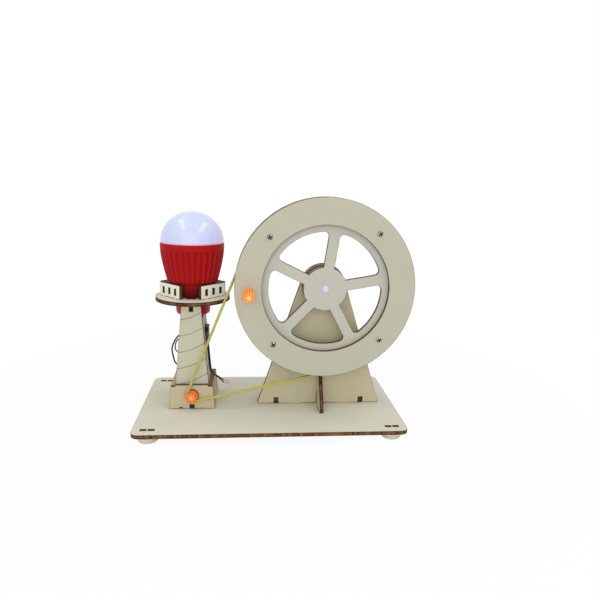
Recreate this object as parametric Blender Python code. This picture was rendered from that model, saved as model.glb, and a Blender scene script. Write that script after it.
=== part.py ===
"""Hand crank generator: a laser-cut plywood lighthouse and belt wheel that light a bulb.

Metres, X right, Y back, Z up. The origin lies under the middle of the outline, on the table.
"""

import math

import bmesh
import bpy
from mathutils import Matrix, Vector
from mathutils.geometry import tessellate_polygon

# Plywood and clearances
ply = 0.003
seat_gap = 0.0003
running_gap = 0.0005
slot_gap = 0.0003
cut_overrun = 0.001

# Base board and its four rubber feet
base_depth = 0.110
base_corner_radius = 0.006
foot_height = 0.0042
foot_top_radius = 0.008
foot_bottom_radius = 0.0057
foot_inset_x = 0.0115
foot_inset_y = 0.008
foot_edge_round = 0.0008
spare_slot_length = 0.0047
spare_slot_bridge = 0.0010
spare_slot_inset_x = 0.011
spare_slot_inset_y = 0.008

# Belt wheel: two rings with a smaller spoked disc between them
wheel_radius = 0.068
ring_width = 0.020
belt_channel_depth = 0.0033
disc_rim_width = 0.0219
window_fillet = 0.0035
hub_radius = 0.0165
spoke_width = 0.008
spoke_count = 5
wheel_inset = 0.0607
rim_clearance = 0.0295
tower_clearance = 0.0040
wheel_turn = math.radians(2.75)
spoke_angle = math.radians(10.4)
rim_screw_count = 4
rim_screw_angle = math.radians(45)
rim_screw_inset = 0.0107
axle_radius = 0.0016
axle_proud = 0.0008
collar_radius = 0.0045
collar_length = 0.004

# Screws and nuts
screw_radius = 0.0010
screw_head_radius = 0.0021
screw_head_height = 0.0013
nut_radius = 0.0023
nut_height = 0.0016
screw_end_proud = 0.0008

# Crank knob
knob_radius = 0.0046
knob_length = 0.0150
knob_flute_depth = 0.0006
knob_flutes = 12
knob_edge_round = 0.0005
crank_angle = math.radians(183.4)
crank_screw_radius = 0.0013
crank_head_radius = 0.0019

# Wheel stand
stand_setback = 0.0514
stand_foot_width = 0.0992
stand_head_radius = 0.0173
spacer_radius = 0.0165
stand_tab_width = 0.012
stand_tab_offset = 0.020
gusset_offset = 0.0345
gusset_depth = 0.034
gusset_height = 0.040
gusset_finger_height = 0.0048
brace_depth = 0.0205
brace_height = 0.031
brace_crest_depth = 0.0025
brace_finger_height = 0.010
nose_height = 0.004
crest_depth = 0.0035
foot_tab_length = 0.008

# Lighthouse tower
tower_inset = 0.0389
tower_setback = 0.046
tower_depth = 0.033
tower_half_width = 0.0144
tower_lean_share = 0.087
tower_side_drop = 0.0008
tower_tab_width = 0.0066
tower_foot_tab_width = 0.008
light_width = 0.0030
light_height = 0.0038
light_drop = 0.0025
wire_hole_radius = 0.0015

# Wire holes in the tower's left side: how far they lie behind its middle line, how high the
# upper ones are over the socket's foot, and where the lower ones are between motor and socket
black_hole_shift = -0.0025
black_upper_rise = 0.0060
black_lower_share = 0.50
red_hole_shift = -0.0010
red_upper_rise = 0.0028
red_lower_share = 0.76

# Plinth round the foot of the tower
plinth_height = 0.0196
plinth_finger_height = 0.0016
plinth_nick_shift = 0.0085
plinth_nick_width = 0.0020
plinth_nick_height = 0.0012
pulley_hole_radius = 0.0052
rail_height = 0.0033

# Gallery
platform_height = 0.0869
platform_radius = 0.0284
panel_height = 0.0105
panel_distance = 0.0192
doorway_half_width = 0.0079
pane_width = 0.0023
pane_height = 0.0050
pane_sill = 0.0026
panel_tab_width = 0.0034

# Bulb
neck_radius = 0.0117
collar_flange_radius = 0.0140
cap_height = 0.0108
cap_round = 0.0022
bulb_radius = 0.0241
bulb_shoulder_radius = 0.0190
bulb_shoulder_round = 0.0010
bulb_body_height = 0.0401
band_height = 0.0056
rib_count = 32
rib_depth = 0.0008
dome_step = 0.0002
dome_height = 0.0240
dome_wall = 0.0014
led_board_margin = 0.0043
led_board_height = 0.0012
led_size = 0.003
led_height = 0.0008
led_inset = 0.006
led_count = 6

# Motor used as the generator
motor_radius = 0.010
motor_flat = 0.0075
motor_height = 0.0111
can_length = 0.0195
end_cap_length = 0.005
bush_radius = 0.0031
shaft_radius = 0.0010
shaft_proud = 0.0006
shaft_engagement = 0.006
terminal_width = 0.0022
terminal_thickness = 0.0006
terminal_height = 0.0016
terminal_offset = 0.0040

# Pulley and round belt
pulley_radius = 0.0047
pulley_groove_radius = 0.00335
pulley_width = 0.0042
pulley_flange = 0.0008
groove_floor_width = 0.0019
belt_radius = 0.00085

# Socket in the side of the tower, with its plug
shell_thickness = 0.0045
shell_width = 0.012
shell_height = 0.0090
shell_drop = 0.0345
shell_proud = 0.0019
plug_height = 0.0033
tail_height = 0.0019
tail_width = 0.008
tail_inset = 0.0025
shell_slot_width = 0.0024
shell_slot_height = 0.0022
shell_slot_depth = 0.0006
shell_slot_offset = 0.0030
shell_slot_rise = 0.0056

# Wires
cable_radius = 0.0011
wire_radius = 0.00045

# Derived places
axle_spacing = wheel_radius + tower_clearance + platform_radius
base_width = tower_inset + axle_spacing + wheel_inset
overhang = max(0, wheel_radius - wheel_inset)
base_x = -overhang / 2
base_left = base_x - base_width / 2
base_right = base_x + base_width / 2
base_bottom = foot_height + seat_gap
base_top = base_bottom + ply
base_front = -base_depth / 2
standing = base_top + seat_gap

wheel_x = base_right - wheel_inset
wheel_z = base_top + rim_clearance + wheel_radius
ring_bore_radius = wheel_radius - ring_width
disc_radius = wheel_radius - belt_channel_depth
window_radius = disc_radius - disc_rim_width
screw_circle_radius = wheel_radius - rim_screw_inset
stand_front = base_front + stand_setback
stand_back = stand_front + ply
spacer_back_y = stand_front - seat_gap - ply
spacer_front_y = spacer_back_y - seat_gap - ply
rear_ring_y = spacer_front_y - running_gap - ply
disc_y = rear_ring_y - seat_gap - ply
front_ring_y = disc_y - seat_gap - ply
belt_y = disc_y + ply / 2

tower_x = base_left + tower_inset
tower_front = base_front + tower_setback
tower_y = tower_front + tower_depth / 2
tower_back = tower_front + tower_depth
plinth_front = tower_front - seat_gap - ply
plinth_back = tower_back + seat_gap + ply
platform_top = base_top + platform_height
platform_bottom = platform_top - ply
motor_z = base_top + motor_height
cap_top = platform_bottom - seat_gap
cap_bottom = cap_top - cap_height
dome_radius = bulb_radius - dome_step
led_board_radius = dome_radius - dome_wall - led_board_margin
led_circle_radius = led_board_radius - led_inset
shell_bottom = platform_bottom - shell_drop
shell_top = shell_bottom + shell_height

belt_wheel_radius = disc_radius + seat_gap + belt_radius
belt_pulley_radius = pulley_groove_radius + seat_gap + belt_radius


def clear_scene():
    for obj in list(bpy.data.objects):
        bpy.data.objects.remove(obj, do_unlink=True)


def finish(name, colour, roughness, metallic=0.0):
    """One Principled material."""
    material = bpy.data.materials.new(name)
    material.use_nodes = True
    shader = material.node_tree.nodes["Principled BSDF"]
    shader.inputs["Base Color"].default_value = (*colour, 1)
    shader.inputs["Roughness"].default_value = roughness
    shader.inputs["Metallic"].default_value = metallic
    material.diffuse_color = (*colour, 1)
    return material


def pivot(name, place, parent=None):
    """An empty on a joint's axis, which the pieces of that body hang from."""
    empty = bpy.data.objects.new(name, None)
    bpy.context.scene.collection.objects.link(empty)
    empty.location = Vector(place)
    if parent:
        empty.parent = parent
        empty.location -= axis_point[parent.name]
    axis_point[name] = Vector(place)
    return empty


def add_mesh(name, bm, material, body):
    """Put a finished mesh into the scene as one piece of a body."""
    bmesh.ops.recalc_face_normals(bm, faces=bm.faces)
    mesh = bpy.data.meshes.new(name)
    bm.to_mesh(mesh)
    bm.free()
    mesh.transform(Matrix.Translation(-axis_point[body.name]))
    mesh.materials.append(material)
    mesh.shade_smooth()
    mesh.set_sharp_from_angle(angle=crease_angle)
    piece = bpy.data.objects.new(name, mesh)
    bpy.context.scene.collection.objects.link(piece)
    piece.parent = body
    return piece


def combine(piece, operation, tool):
    """Join a tool shape to a piece, or cut it out, and hide the tool."""
    modifier = piece.modifiers.new(tool.name, "BOOLEAN")
    modifier.operation = operation
    modifier.object = tool
    tool.hide_render = True
    tool.display_type = "WIRE"


# Outlines, as lists of points in a plane
def arc(centre, radius, start, end, steps):
    """Points from one angle to another, both ends included."""
    angles = [start + (end - start) * i / steps for i in range(steps + 1)]
    return [(centre[0] + radius * math.cos(a), centre[1] + radius * math.sin(a)) for a in angles]


def circle(centre, radius, steps):
    return arc(centre, radius, 0, 2 * math.pi, steps)[:-1]


def rectangle(centre, width, height):
    x, y = centre
    w, h = width / 2, height / 2
    return [(x - w, y - h), (x + w, y - h), (x + w, y + h), (x - w, y + h)]


def rounded_rectangle(centre, width, height, radius, steps):
    points = []
    for quarter, (sx, sy) in enumerate(((1, 1), (-1, 1), (-1, -1), (1, -1))):
        corner = (
            centre[0] + sx * (width / 2 - radius),
            centre[1] + sy * (height / 2 - radius),
        )
        start = quarter * math.pi / 2
        points += arc(corner, radius, start, start + math.pi / 2, steps)
    return points


def stepped_edge(start, end, level, steps):
    """A straight edge with square tabs or notches, each given as centre, width and level."""
    points = [(start, level)]
    side = 1 if end > start else -1
    for centre, width, step_level in sorted(steps, key=lambda step: side * step[0]):
        near = centre - side * width / 2
        far = centre + side * width / 2
        points += [(near, level), (near, step_level), (far, step_level), (far, level)]
    return points + [(end, level)]


def polar(centre, radius, angle):
    return (centre[0] + radius * math.cos(angle), centre[1] + radius * math.sin(angle))


# Ways of standing a sheet: along, up and through the sheet become X, Y and Z
def facing_front(front):
    return lambda u, v, w: Vector((u, front + w, v))


def facing_side(left):
    return lambda u, v, w: Vector((left + w, u, v))


def lying(bottom):
    return lambda u, v, w: Vector((u, v, bottom + w))


def leaning(side, foot_half_width):
    """A side wall of the tower or plinth, which leans in towards the top."""

    def place(u, v, w):
        half = foot_half_width - tower_lean_share * (v - base_top)
        return Vector((tower_x + side * (half - w), u, v))

    return place


def turned_wall(angle, distance):
    """A gallery wall, its outer face square to a direction from the tower's middle."""
    out = Vector((math.cos(angle), math.sin(angle)))
    along = Vector((-out.y, out.x))

    def place(u, v, w):
        flat = Vector((tower_x, tower_y)) + out * (distance - w) + along * u
        return Vector((flat.x, flat.y, v))

    return place


def extrude_outline(bm, outline, holes, depth, place):
    """A flat outline with holes in it, given a thickness."""
    loops = [outline] + list(holes)
    flat = [[Vector((u, v, 0)) for u, v in loop] for loop in loops]
    count = sum(len(loop) for loop in loops)
    verts = [bm.verts.new(place(p.x, p.y, w)) for w in (0, depth) for loop in flat for p in loop]
    for triangle in tessellate_polygon(flat):
        bm.faces.new([verts[i] for i in triangle])
        bm.faces.new([verts[i + count] for i in reversed(triangle)])
    first = 0
    for loop in loops:
        for i in range(len(loop)):
            a = first + i
            b = first + (i + 1) % len(loop)
            bm.faces.new([verts[a], verts[b], verts[b + count], verts[a + count]])
        first += len(loop)


def sheet(name, outline, holes, place, material, body, depth=ply):
    """A piece cut from flat stock."""
    bm = bmesh.new()
    extrude_outline(bm, outline, holes, depth, place)
    return add_mesh(name, bm, material, body)


# Turned pieces
def turn_profile(bm, profile, steps, place, closed=False, ripple=None):
    """Revolve (radius, height) points. A closed profile is a ring; an open one starts and
    ends on the axis. ripple(angle step, profile index) takes depth off the radius."""
    rings = []
    for index, (radius, height) in enumerate(profile):
        if radius == 0:
            rings.append([bm.verts.new(place(0, 0, height))])
            continue
        ring = []
        for step in range(steps):
            r = radius - (ripple(step, index) if ripple else 0)
            angle = 2 * math.pi * step / steps
            ring.append(bm.verts.new(place(r * math.cos(angle), r * math.sin(angle), height)))
        rings.append(ring)
    pairs = list(zip(rings, rings[1:]))
    if closed:
        pairs.append((rings[-1], rings[0]))
    for low, high in pairs:
        for i in range(steps):
            j = (i + 1) % steps
            if len(low) == 1:
                bm.faces.new([low[0], high[j], high[i]])
            elif len(high) == 1:
                bm.faces.new([low[i], low[j], high[0]])
            else:
                bm.faces.new([low[i], low[j], high[j], high[i]])


def along_y(centre):
    """Axis along Y, heights measured backwards from the centre."""
    return lambda a, b, h: Vector((centre[0] + a, centre[1] + h, centre[2] + b))


def along_z(centre):
    return lambda a, b, h: Vector((centre[0] + a, centre[1] + b, centre[2] + h))


def turned(name, profile, steps, place, material, body, closed=False, ripple=None):
    bm = bmesh.new()
    turn_profile(bm, profile, steps, place, closed, ripple)
    return add_mesh(name, bm, material, body)


# Wires and the belt
def smooth_route(points, spacing):
    """Evenly spaced points on a smooth curve through the points of a route."""
    route = [Vector(p) for p in points]
    ends = [2 * route[0] - route[1]] + route + [2 * route[-1] - route[-2]]
    fine = []
    for p0, p1, p2, p3 in zip(ends, ends[1:], ends[2:], ends[3:]):
        for i in range(route_steps):
            t = i / route_steps
            fine.append(
                (
                    p1 * 2
                    + (p2 - p0) * t
                    + (p0 * 2 - p1 * 5 + p2 * 4 - p3) * t**2
                    + (p1 * 3 - p0 - p2 * 3 + p3) * t**3
                )
                / 2
            )
    fine.append(route[-1])
    total = sum((b - a).length for a, b in zip(fine, fine[1:]))
    count = max(2, round(total / spacing))
    even = [fine[0]]
    travelled = 0
    for a, b in zip(fine, fine[1:]):
        travelled += (b - a).length
        if travelled >= total * len(even) / count and len(even) < count:
            even.append(b)
    return even + [fine[-1]]


def tube(name, points, radius, material, body, closed=False):
    """A round wire along points."""
    curve = bpy.data.curves.new(name, "CURVE")
    curve.dimensions = "3D"
    curve.bevel_depth = radius
    curve.bevel_resolution = 2
    curve.use_fill_caps = not closed
    spline = curve.splines.new("POLY")
    spline.points.add(len(points) - 1)
    for point, target in zip(spline.points, points):
        point.co = (*(Vector(target) - axis_point[body.name]), 1)
    spline.use_cyclic_u = closed
    spline.use_smooth = True
    curve.materials.append(material)
    piece = bpy.data.objects.new(name, curve)
    bpy.context.scene.collection.objects.link(piece)
    piece.parent = body
    return piece


clear_scene()
crease_angle = math.radians(35)
route_steps = 24
rim_steps = 72
hole_steps = 10
axis_point = {}

wood = finish("birch_plywood", (0.62, 0.58, 0.47), 0.65)
pad_rubber = finish("pale_foot_rubber", (0.50, 0.47, 0.38), 0.8)
steel = finish("bright_steel", (0.70, 0.70, 0.70), 0.3, 1.0)
orange = finish("orange_plastic", (0.90, 0.20, 0.02), 0.35)
white = finish("white_plastic", (0.85, 0.85, 0.85), 0.4)
red = finish("red_bulb_plastic", (0.42, 0.012, 0.015), 0.35)
milky = finish("milky_dome_plastic", (0.72, 0.76, 0.93), 0.25)
belt_rubber = finish("yellow_belt_rubber", (0.62, 0.55, 0.08), 0.5)
navy = finish("navy_plug_plastic", (0.02, 0.02, 0.10), 0.4)
black = finish("black_insulation", (0.015, 0.015, 0.015), 0.5)
red_wire = finish("red_insulation", (0.40, 0.02, 0.02), 0.5)
copper = finish("tinned_copper", (0.60, 0.55, 0.50), 0.4, 1.0)
board_white = finish("led_board_white", (0.80, 0.80, 0.78), 0.5)

frame = pivot("frame_axes", (0, 0, 0))
wheel = pivot("wheel_axis", (wheel_x, belt_y, wheel_z))
crank_point = polar((wheel_x, wheel_z), screw_circle_radius, crank_angle)
knob = pivot("knob_axis", (crank_point[0], front_ring_y, crank_point[1]), wheel)
pulley = pivot("pulley_axis", (tower_x, belt_y, motor_z))

# Base board: rounded sheet with slots for the plates that stand on it
slot = ply + 2 * slot_gap
stand_tab_places = [wheel_x - stand_tab_offset, wheel_x + stand_tab_offset]
gusset_places = [wheel_x - gusset_offset, wheel_x + gusset_offset]
stand_middle = (stand_front + stand_back) / 2
gusset_tab_y = stand_back + gusset_depth / 2
brace_tab_y = stand_front - brace_depth / 2
tower_plate_places = [tower_front + ply / 2, tower_back - ply / 2]

base_slots = []
for x in stand_tab_places:
    base_slots.append(rectangle((x, stand_middle), stand_tab_width + 2 * slot_gap, slot))
for x in gusset_places:
    base_slots.append(rectangle((x, gusset_tab_y), slot, foot_tab_length + 2 * slot_gap))
base_slots.append(rectangle((wheel_x, brace_tab_y), slot, foot_tab_length + 2 * slot_gap))
for y in tower_plate_places:
    for side in (-1, 1):
        x = tower_x + side * tower_half_width / 2
        base_slots.append(rectangle((x, y), tower_foot_tab_width / 2 + 2 * slot_gap, slot))
for side_x in (-1, 1):
    for side_y in (-1, 1):
        x = base_x + side_x * (base_width / 2 - spare_slot_inset_x)
        y = side_y * (base_depth / 2 - spare_slot_inset_y)
        for half in (-1, 1):
            shift = half * (spare_slot_length + spare_slot_bridge) / 2
            base_slots.append(rectangle((x + shift, y), spare_slot_length, ply))
base_outline = rounded_rectangle((base_x, 0), base_width, base_depth, base_corner_radius, 6)
sheet("base_board", base_outline, base_slots, lying(base_bottom), wood, frame)

foot_profile = [
    (0, 0),
    (foot_bottom_radius - foot_edge_round, 0),
    (foot_bottom_radius, foot_edge_round),
    (foot_top_radius, foot_height - foot_edge_round),
    (foot_top_radius - foot_edge_round, foot_height),
    (0, foot_height),
]
for side_x, hand in ((-1, "left"), (1, "right")):
    for side_y, end in ((-1, "front"), (1, "rear")):
        x = base_x + side_x * (base_width / 2 - foot_inset_x)
        y = side_y * (base_depth / 2 - foot_inset_y)
        turned(f"foot_{end}_{hand}", foot_profile, 20, along_z((x, y, 0)), pad_rubber, frame)

# Stand plate: straight sides drawn tangent to a round head about the axle
tab_level = base_bottom
half_foot = stand_foot_width / 2
reach = math.hypot(half_foot, wheel_z - standing)
lean = math.atan2(wheel_z - standing, -half_foot) - math.asin(stand_head_radius / reach)
head_start = lean - math.pi / 2
stand_steps = [(x, stand_tab_width, tab_level) for x in stand_tab_places]
finger_top = base_top + gusset_finger_height + seat_gap
stand_steps += [(x, slot, finger_top) for x in gusset_places]
stand_steps.append((wheel_x, slot, base_top + brace_finger_height + seat_gap))
stand_outline = stepped_edge(wheel_x - half_foot, wheel_x + half_foot, standing, stand_steps)
wheel_centre = (wheel_x, wheel_z)
stand_outline += arc(wheel_centre, stand_head_radius, head_start, math.pi - head_start, 20)
axle_bore = circle(wheel_centre, axle_radius + seat_gap, 16)
sheet("stand_plate", stand_outline, [axle_bore], facing_front(stand_front), wood, frame)

# Triangular gussets behind the plate, each with a finger through it
gusset_near = stand_back + seat_gap
gusset_far = stand_back + gusset_depth
finger_level = base_top + gusset_finger_height
gusset_outline = stepped_edge(
    stand_front, gusset_far, standing, [(gusset_tab_y, foot_tab_length, tab_level)]
)
gusset_outline += [
    (gusset_far, base_top + nose_height),
    (gusset_near + crest_depth, base_top + gusset_height),
    (gusset_near, base_top + gusset_height),
    (gusset_near, finger_level),
    (stand_front, finger_level),
]
for name, x in zip(("stand_gusset_left", "stand_gusset_right"), gusset_places):
    sheet(name, gusset_outline, [], facing_side(x - ply / 2), wood, frame)

# Front brace: slopes back so that it stays behind the turning wheel
brace_near = stand_front - seat_gap
brace_far = stand_front - brace_depth
brace_finger_level = base_top + brace_finger_height
brace_outline = stepped_edge(
    brace_far, stand_back, standing, [(brace_tab_y, foot_tab_length, tab_level)]
)
brace_outline += [
    (stand_back, brace_finger_level),
    (brace_near, brace_finger_level),
    (brace_near, base_top + brace_height),
    (brace_near - brace_crest_depth, base_top + brace_height),
    (brace_far, base_top + nose_height),
]
sheet("stand_brace", brace_outline, [], facing_side(wheel_x - ply / 2), wood, frame)

# Spacer discs on the face of the stand, which the wheel runs against
spacer_outline = circle(wheel_centre, spacer_radius, 40)
for name, y in (("spacer_disc_front", spacer_front_y), ("spacer_disc_rear", spacer_back_y)):
    sheet(name, spacer_outline, [axle_bore], facing_front(y), wood, frame)

# Wheel rings, spoked disc and the screws through all three
screw_angles = [
    wheel_turn + rim_screw_angle + i * 2 * math.pi / rim_screw_count
    for i in range(rim_screw_count)
]
screw_points = [polar(wheel_centre, screw_circle_radius, a) for a in screw_angles]
wheel_holes = [circle(p, screw_radius + seat_gap, hole_steps) for p in screw_points]
wheel_holes.append(circle(crank_point, crank_screw_radius + seat_gap, hole_steps))
rim = circle(wheel_centre, wheel_radius, rim_steps)
bore = circle(wheel_centre, ring_bore_radius, rim_steps)
sheet("wheel_ring_front", rim, [bore] + wheel_holes, facing_front(front_ring_y), wood, wheel)
sheet("wheel_ring_rear", rim, [bore] + wheel_holes, facing_front(rear_ring_y), wood, wheel)


def spoke_window(start, end):
    """The opening between two spokes: round outside corners, hub arc inside."""
    half = spoke_width / 2
    inner_turn = math.asin(half / hub_radius)
    corner_reach = window_radius - window_fillet
    corner_turn = math.asin((half + window_fillet) / corner_reach)
    points = arc(wheel_centre, hub_radius, end - inner_turn, start + inner_turn, 8)
    corner = polar(wheel_centre, corner_reach, start + corner_turn)
    points += arc(corner, window_fillet, start - math.pi / 2, start + corner_turn, 6)
    points += arc(wheel_centre, window_radius, start + corner_turn, end - corner_turn, 12)[1:-1]
    corner = polar(wheel_centre, corner_reach, end - corner_turn)
    points += arc(corner, window_fillet, end - corner_turn, end + math.pi / 2, 6)
    return points


spoke_step = 2 * math.pi / spoke_count
windows = []
for i in range(spoke_count):
    start = spoke_angle + i * spoke_step
    windows.append(spoke_window(start, start + spoke_step))
disc_rim = circle(wheel_centre, disc_radius, rim_steps)
disc_holes = windows + wheel_holes + [axle_bore]
sheet("wheel_spoked_disc", disc_rim, disc_holes, facing_front(disc_y), wood, wheel)

wheel_back = rear_ring_y + ply
screw_end = wheel_back + seat_gap + nut_height + screw_end_proud


def screw_profile(shank_radius, head_radius, length):
    """A pan head in front of height zero, and a shank behind it."""
    shoulder_share = 0.6
    return [
        (0, -screw_head_height),
        (head_radius * shoulder_share, -screw_head_height),
        (head_radius, -screw_head_height * (1 - shoulder_share)),
        (head_radius, 0),
        (shank_radius, 0),
        (shank_radius, length),
        (0, length),
    ]


def nut_outline(point, turn):
    return [polar(point, nut_radius, turn + i * math.pi / 3) for i in range(6)]


head_seat = front_ring_y - seat_gap
rim_screw_profile = screw_profile(screw_radius, screw_head_radius, screw_end - head_seat)
nut_seat = facing_front(wheel_back + seat_gap)
for index, (x, z) in enumerate(screw_points):
    place = along_y((x, head_seat, z))
    turned(f"rim_screw_{index + 1}", rim_screw_profile, hole_steps, place, steel, wheel)
    bore_outline = circle((x, z), screw_radius + seat_gap, hole_steps)
    outline = nut_outline((x, z), index)
    name = f"rim_nut_{index + 1}"
    sheet(name, outline, [bore_outline], nut_seat, steel, wheel, depth=nut_height)

# Axle: turns with the wheel in the spacer discs and the stand plate
collar_y = stand_back + running_gap
axle_end = collar_y + collar_length + axle_proud
axle_profile = [
    (0, disc_y - axle_proud),
    (axle_radius, disc_y - axle_proud),
    (axle_radius, axle_end),
    (0, axle_end),
]
wheel_axis = along_y((wheel_x, 0, wheel_z))
turned("axle", axle_profile, 20, wheel_axis, white, wheel)
collar_profile = [
    (axle_radius + seat_gap, collar_y),
    (collar_radius, collar_y),
    (collar_radius, collar_y + collar_length),
    (axle_radius + seat_gap, collar_y + collar_length),
]
turned("axle_collar", collar_profile, 24, wheel_axis, white, wheel, closed=True)

# Crank knob, turning on the screw that is fixed in the wheel's rim
knob_back = front_ring_y - running_gap
knob_front = knob_back - knob_length
crank_head_y = knob_front - seat_gap
crank_length = screw_end - crank_head_y
crank_profile = screw_profile(crank_screw_radius, crank_head_radius, crank_length)
crank_place = along_y((crank_point[0], crank_head_y, crank_point[1]))
turned("crank_screw", crank_profile, 16, crank_place, steel, wheel)
crank_nut_bore = circle(crank_point, crank_screw_radius + seat_gap, hole_steps)
crank_nut_outline = nut_outline(crank_point, 0)
sheet("crank_nut", crank_nut_outline, [crank_nut_bore], nut_seat, steel, wheel, depth=nut_height)

flute_steps = 4
flute_shape_shares = (0, 0, 0.7, 0.7)
knob_bore = crank_screw_radius + seat_gap
knob_profile = [
    (knob_bore, 0),
    (knob_radius - knob_edge_round, 0),
    (knob_radius, knob_edge_round),
    (knob_radius, knob_length - knob_edge_round),
    (knob_radius - knob_edge_round, knob_length),
    (knob_bore, knob_length),
]
knob_bore_rows = (0, len(knob_profile) - 1)


def flute(step, index):
    """Grooves run along the outside of the knob and leave its bore round."""
    if index in knob_bore_rows:
        return 0
    return knob_flute_depth * flute_shape_shares[step % flute_steps]


turned(
    "crank_knob",
    knob_profile,
    knob_flutes * flute_steps,
    along_y((crank_point[0], knob_front, crank_point[1])),
    orange,
    knob,
    closed=True,
    ripple=flute,
)


# Tower: upright front and rear plates with leaning side plates between them
def tower_half(height):
    return tower_half_width - tower_lean_share * height


foot_tab_steps = [
    (tower_x + side * tower_half_width / 2, tower_foot_tab_width / 2, tab_level)
    for side in (-1, 1)
]
rail_notch = (tower_x, slot, base_top + rail_height + seat_gap)
shoulder = platform_bottom - seat_gap
shoulder_half = tower_half(shoulder - base_top)
tower_outline = stepped_edge(
    tower_x - tower_half_width,
    tower_x + tower_half_width,
    standing,
    foot_tab_steps + [rail_notch],
)
tower_outline += stepped_edge(
    tower_x + shoulder_half,
    tower_x - shoulder_half,
    shoulder,
    [(tower_x, tower_tab_width, platform_top)],
)
bush_hole = circle((tower_x, motor_z), bush_radius + seat_gap, 20)
light_z = shoulder - light_drop - light_height / 2
light = rectangle((tower_x, light_z), light_width, light_height)
front_holes = [bush_hole, light]
sheet("tower_front", tower_outline, front_holes, facing_front(tower_front), wood, frame)
sheet("tower_rear", tower_outline, [light], facing_front(tower_back - ply), wood, frame)

side_near = tower_front + ply + seat_gap
side_far = tower_back - ply - seat_gap
side_top = cap_bottom - tower_side_drop
side_outline = [
    (side_near, standing),
    (side_far, standing),
    (side_far, side_top),
    (side_near, side_top),
]
black_upper = shell_bottom + black_upper_rise
black_lower = motor_z + black_lower_share * (shell_bottom - motor_z)
red_upper = shell_bottom + red_upper_rise
red_lower = motor_z + red_lower_share * (shell_bottom - motor_z)
black_y = tower_y + black_hole_shift
red_y = tower_y + red_hole_shift
wire_holes = [
    circle(centre, wire_hole_radius, hole_steps)
    for centre in (
        (black_y, black_upper),
        (red_y, red_upper),
        (red_y, red_lower),
        (black_y, black_lower),
    )
]
tail_bottom = shell_bottom - seat_gap - tail_height
plug_top = shell_top + seat_gap + plug_height
socket_window = [
    (tower_y - shell_width / 2 - seat_gap, tail_bottom - seat_gap),
    (tower_y + shell_width / 2 + seat_gap, tail_bottom - seat_gap),
    (tower_y + shell_width / 2 + seat_gap, plug_top + seat_gap),
    (tower_y - shell_width / 2 - seat_gap, plug_top + seat_gap),
]
left_lean = leaning(-1, tower_half_width)
right_lean = leaning(1, tower_half_width)
sheet("tower_side_left", side_outline, wire_holes, left_lean, wood, frame)
sheet("tower_side_right", side_outline, [socket_window], right_lean, wood, frame)

# Plinth: a low box round the foot of the tower
plinth_half = tower_half_width + seat_gap + ply
plinth_top = base_top + plinth_height
plinth_top_half = plinth_half - tower_lean_share * plinth_height
finger_floor = plinth_top - plinth_finger_height
corner_half = plinth_top_half - ply - seat_gap
plinth_left = tower_x - plinth_half
plinth_right = tower_x + plinth_half
plinth_nick = (tower_x - plinth_nick_shift, plinth_nick_width, standing + plinth_nick_height)
plinth_steps = [plinth_nick, rail_notch]
plinth_outline = stepped_edge(plinth_left, plinth_right, standing, plinth_steps)
floor_half = plinth_half - tower_lean_share * (finger_floor - seat_gap - base_top)
plinth_outline += [
    (tower_x + floor_half, finger_floor - seat_gap),
    (tower_x + corner_half, finger_floor - seat_gap),
    (tower_x + corner_half, plinth_top),
    (tower_x - corner_half, plinth_top),
    (tower_x - corner_half, finger_floor - seat_gap),
    (tower_x - floor_half, finger_floor - seat_gap),
]
pulley_hole = circle((tower_x, motor_z), pulley_hole_radius, 28)
front_place = facing_front(plinth_front)
sheet("plinth_front", plinth_outline, [pulley_hole], front_place, wood, frame)
sheet("plinth_rear", plinth_outline, [], facing_front(plinth_back - ply), wood, frame)
plinth_near = plinth_front + ply + seat_gap
plinth_far = plinth_back - ply - seat_gap
plinth_side_outline = [
    (plinth_near, standing),
    (plinth_far, standing),
    (plinth_far, finger_floor),
    (plinth_back, finger_floor),
    (plinth_back, plinth_top),
    (plinth_front, plinth_top),
    (plinth_front, finger_floor),
    (plinth_near, finger_floor),
]
for name, side in (("plinth_side_left", -1), ("plinth_side_right", 1)):
    sheet(name, plinth_side_outline, [], leaning(side, plinth_half), wood, frame)

rail_outline = rectangle(
    ((plinth_front + plinth_back) / 2, standing + rail_height / 2 - seat_gap / 2),
    plinth_back - plinth_front,
    rail_height - seat_gap,
)
sheet("motor_rail", rail_outline, [], facing_side(tower_x - ply / 2), wood, frame)

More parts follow.
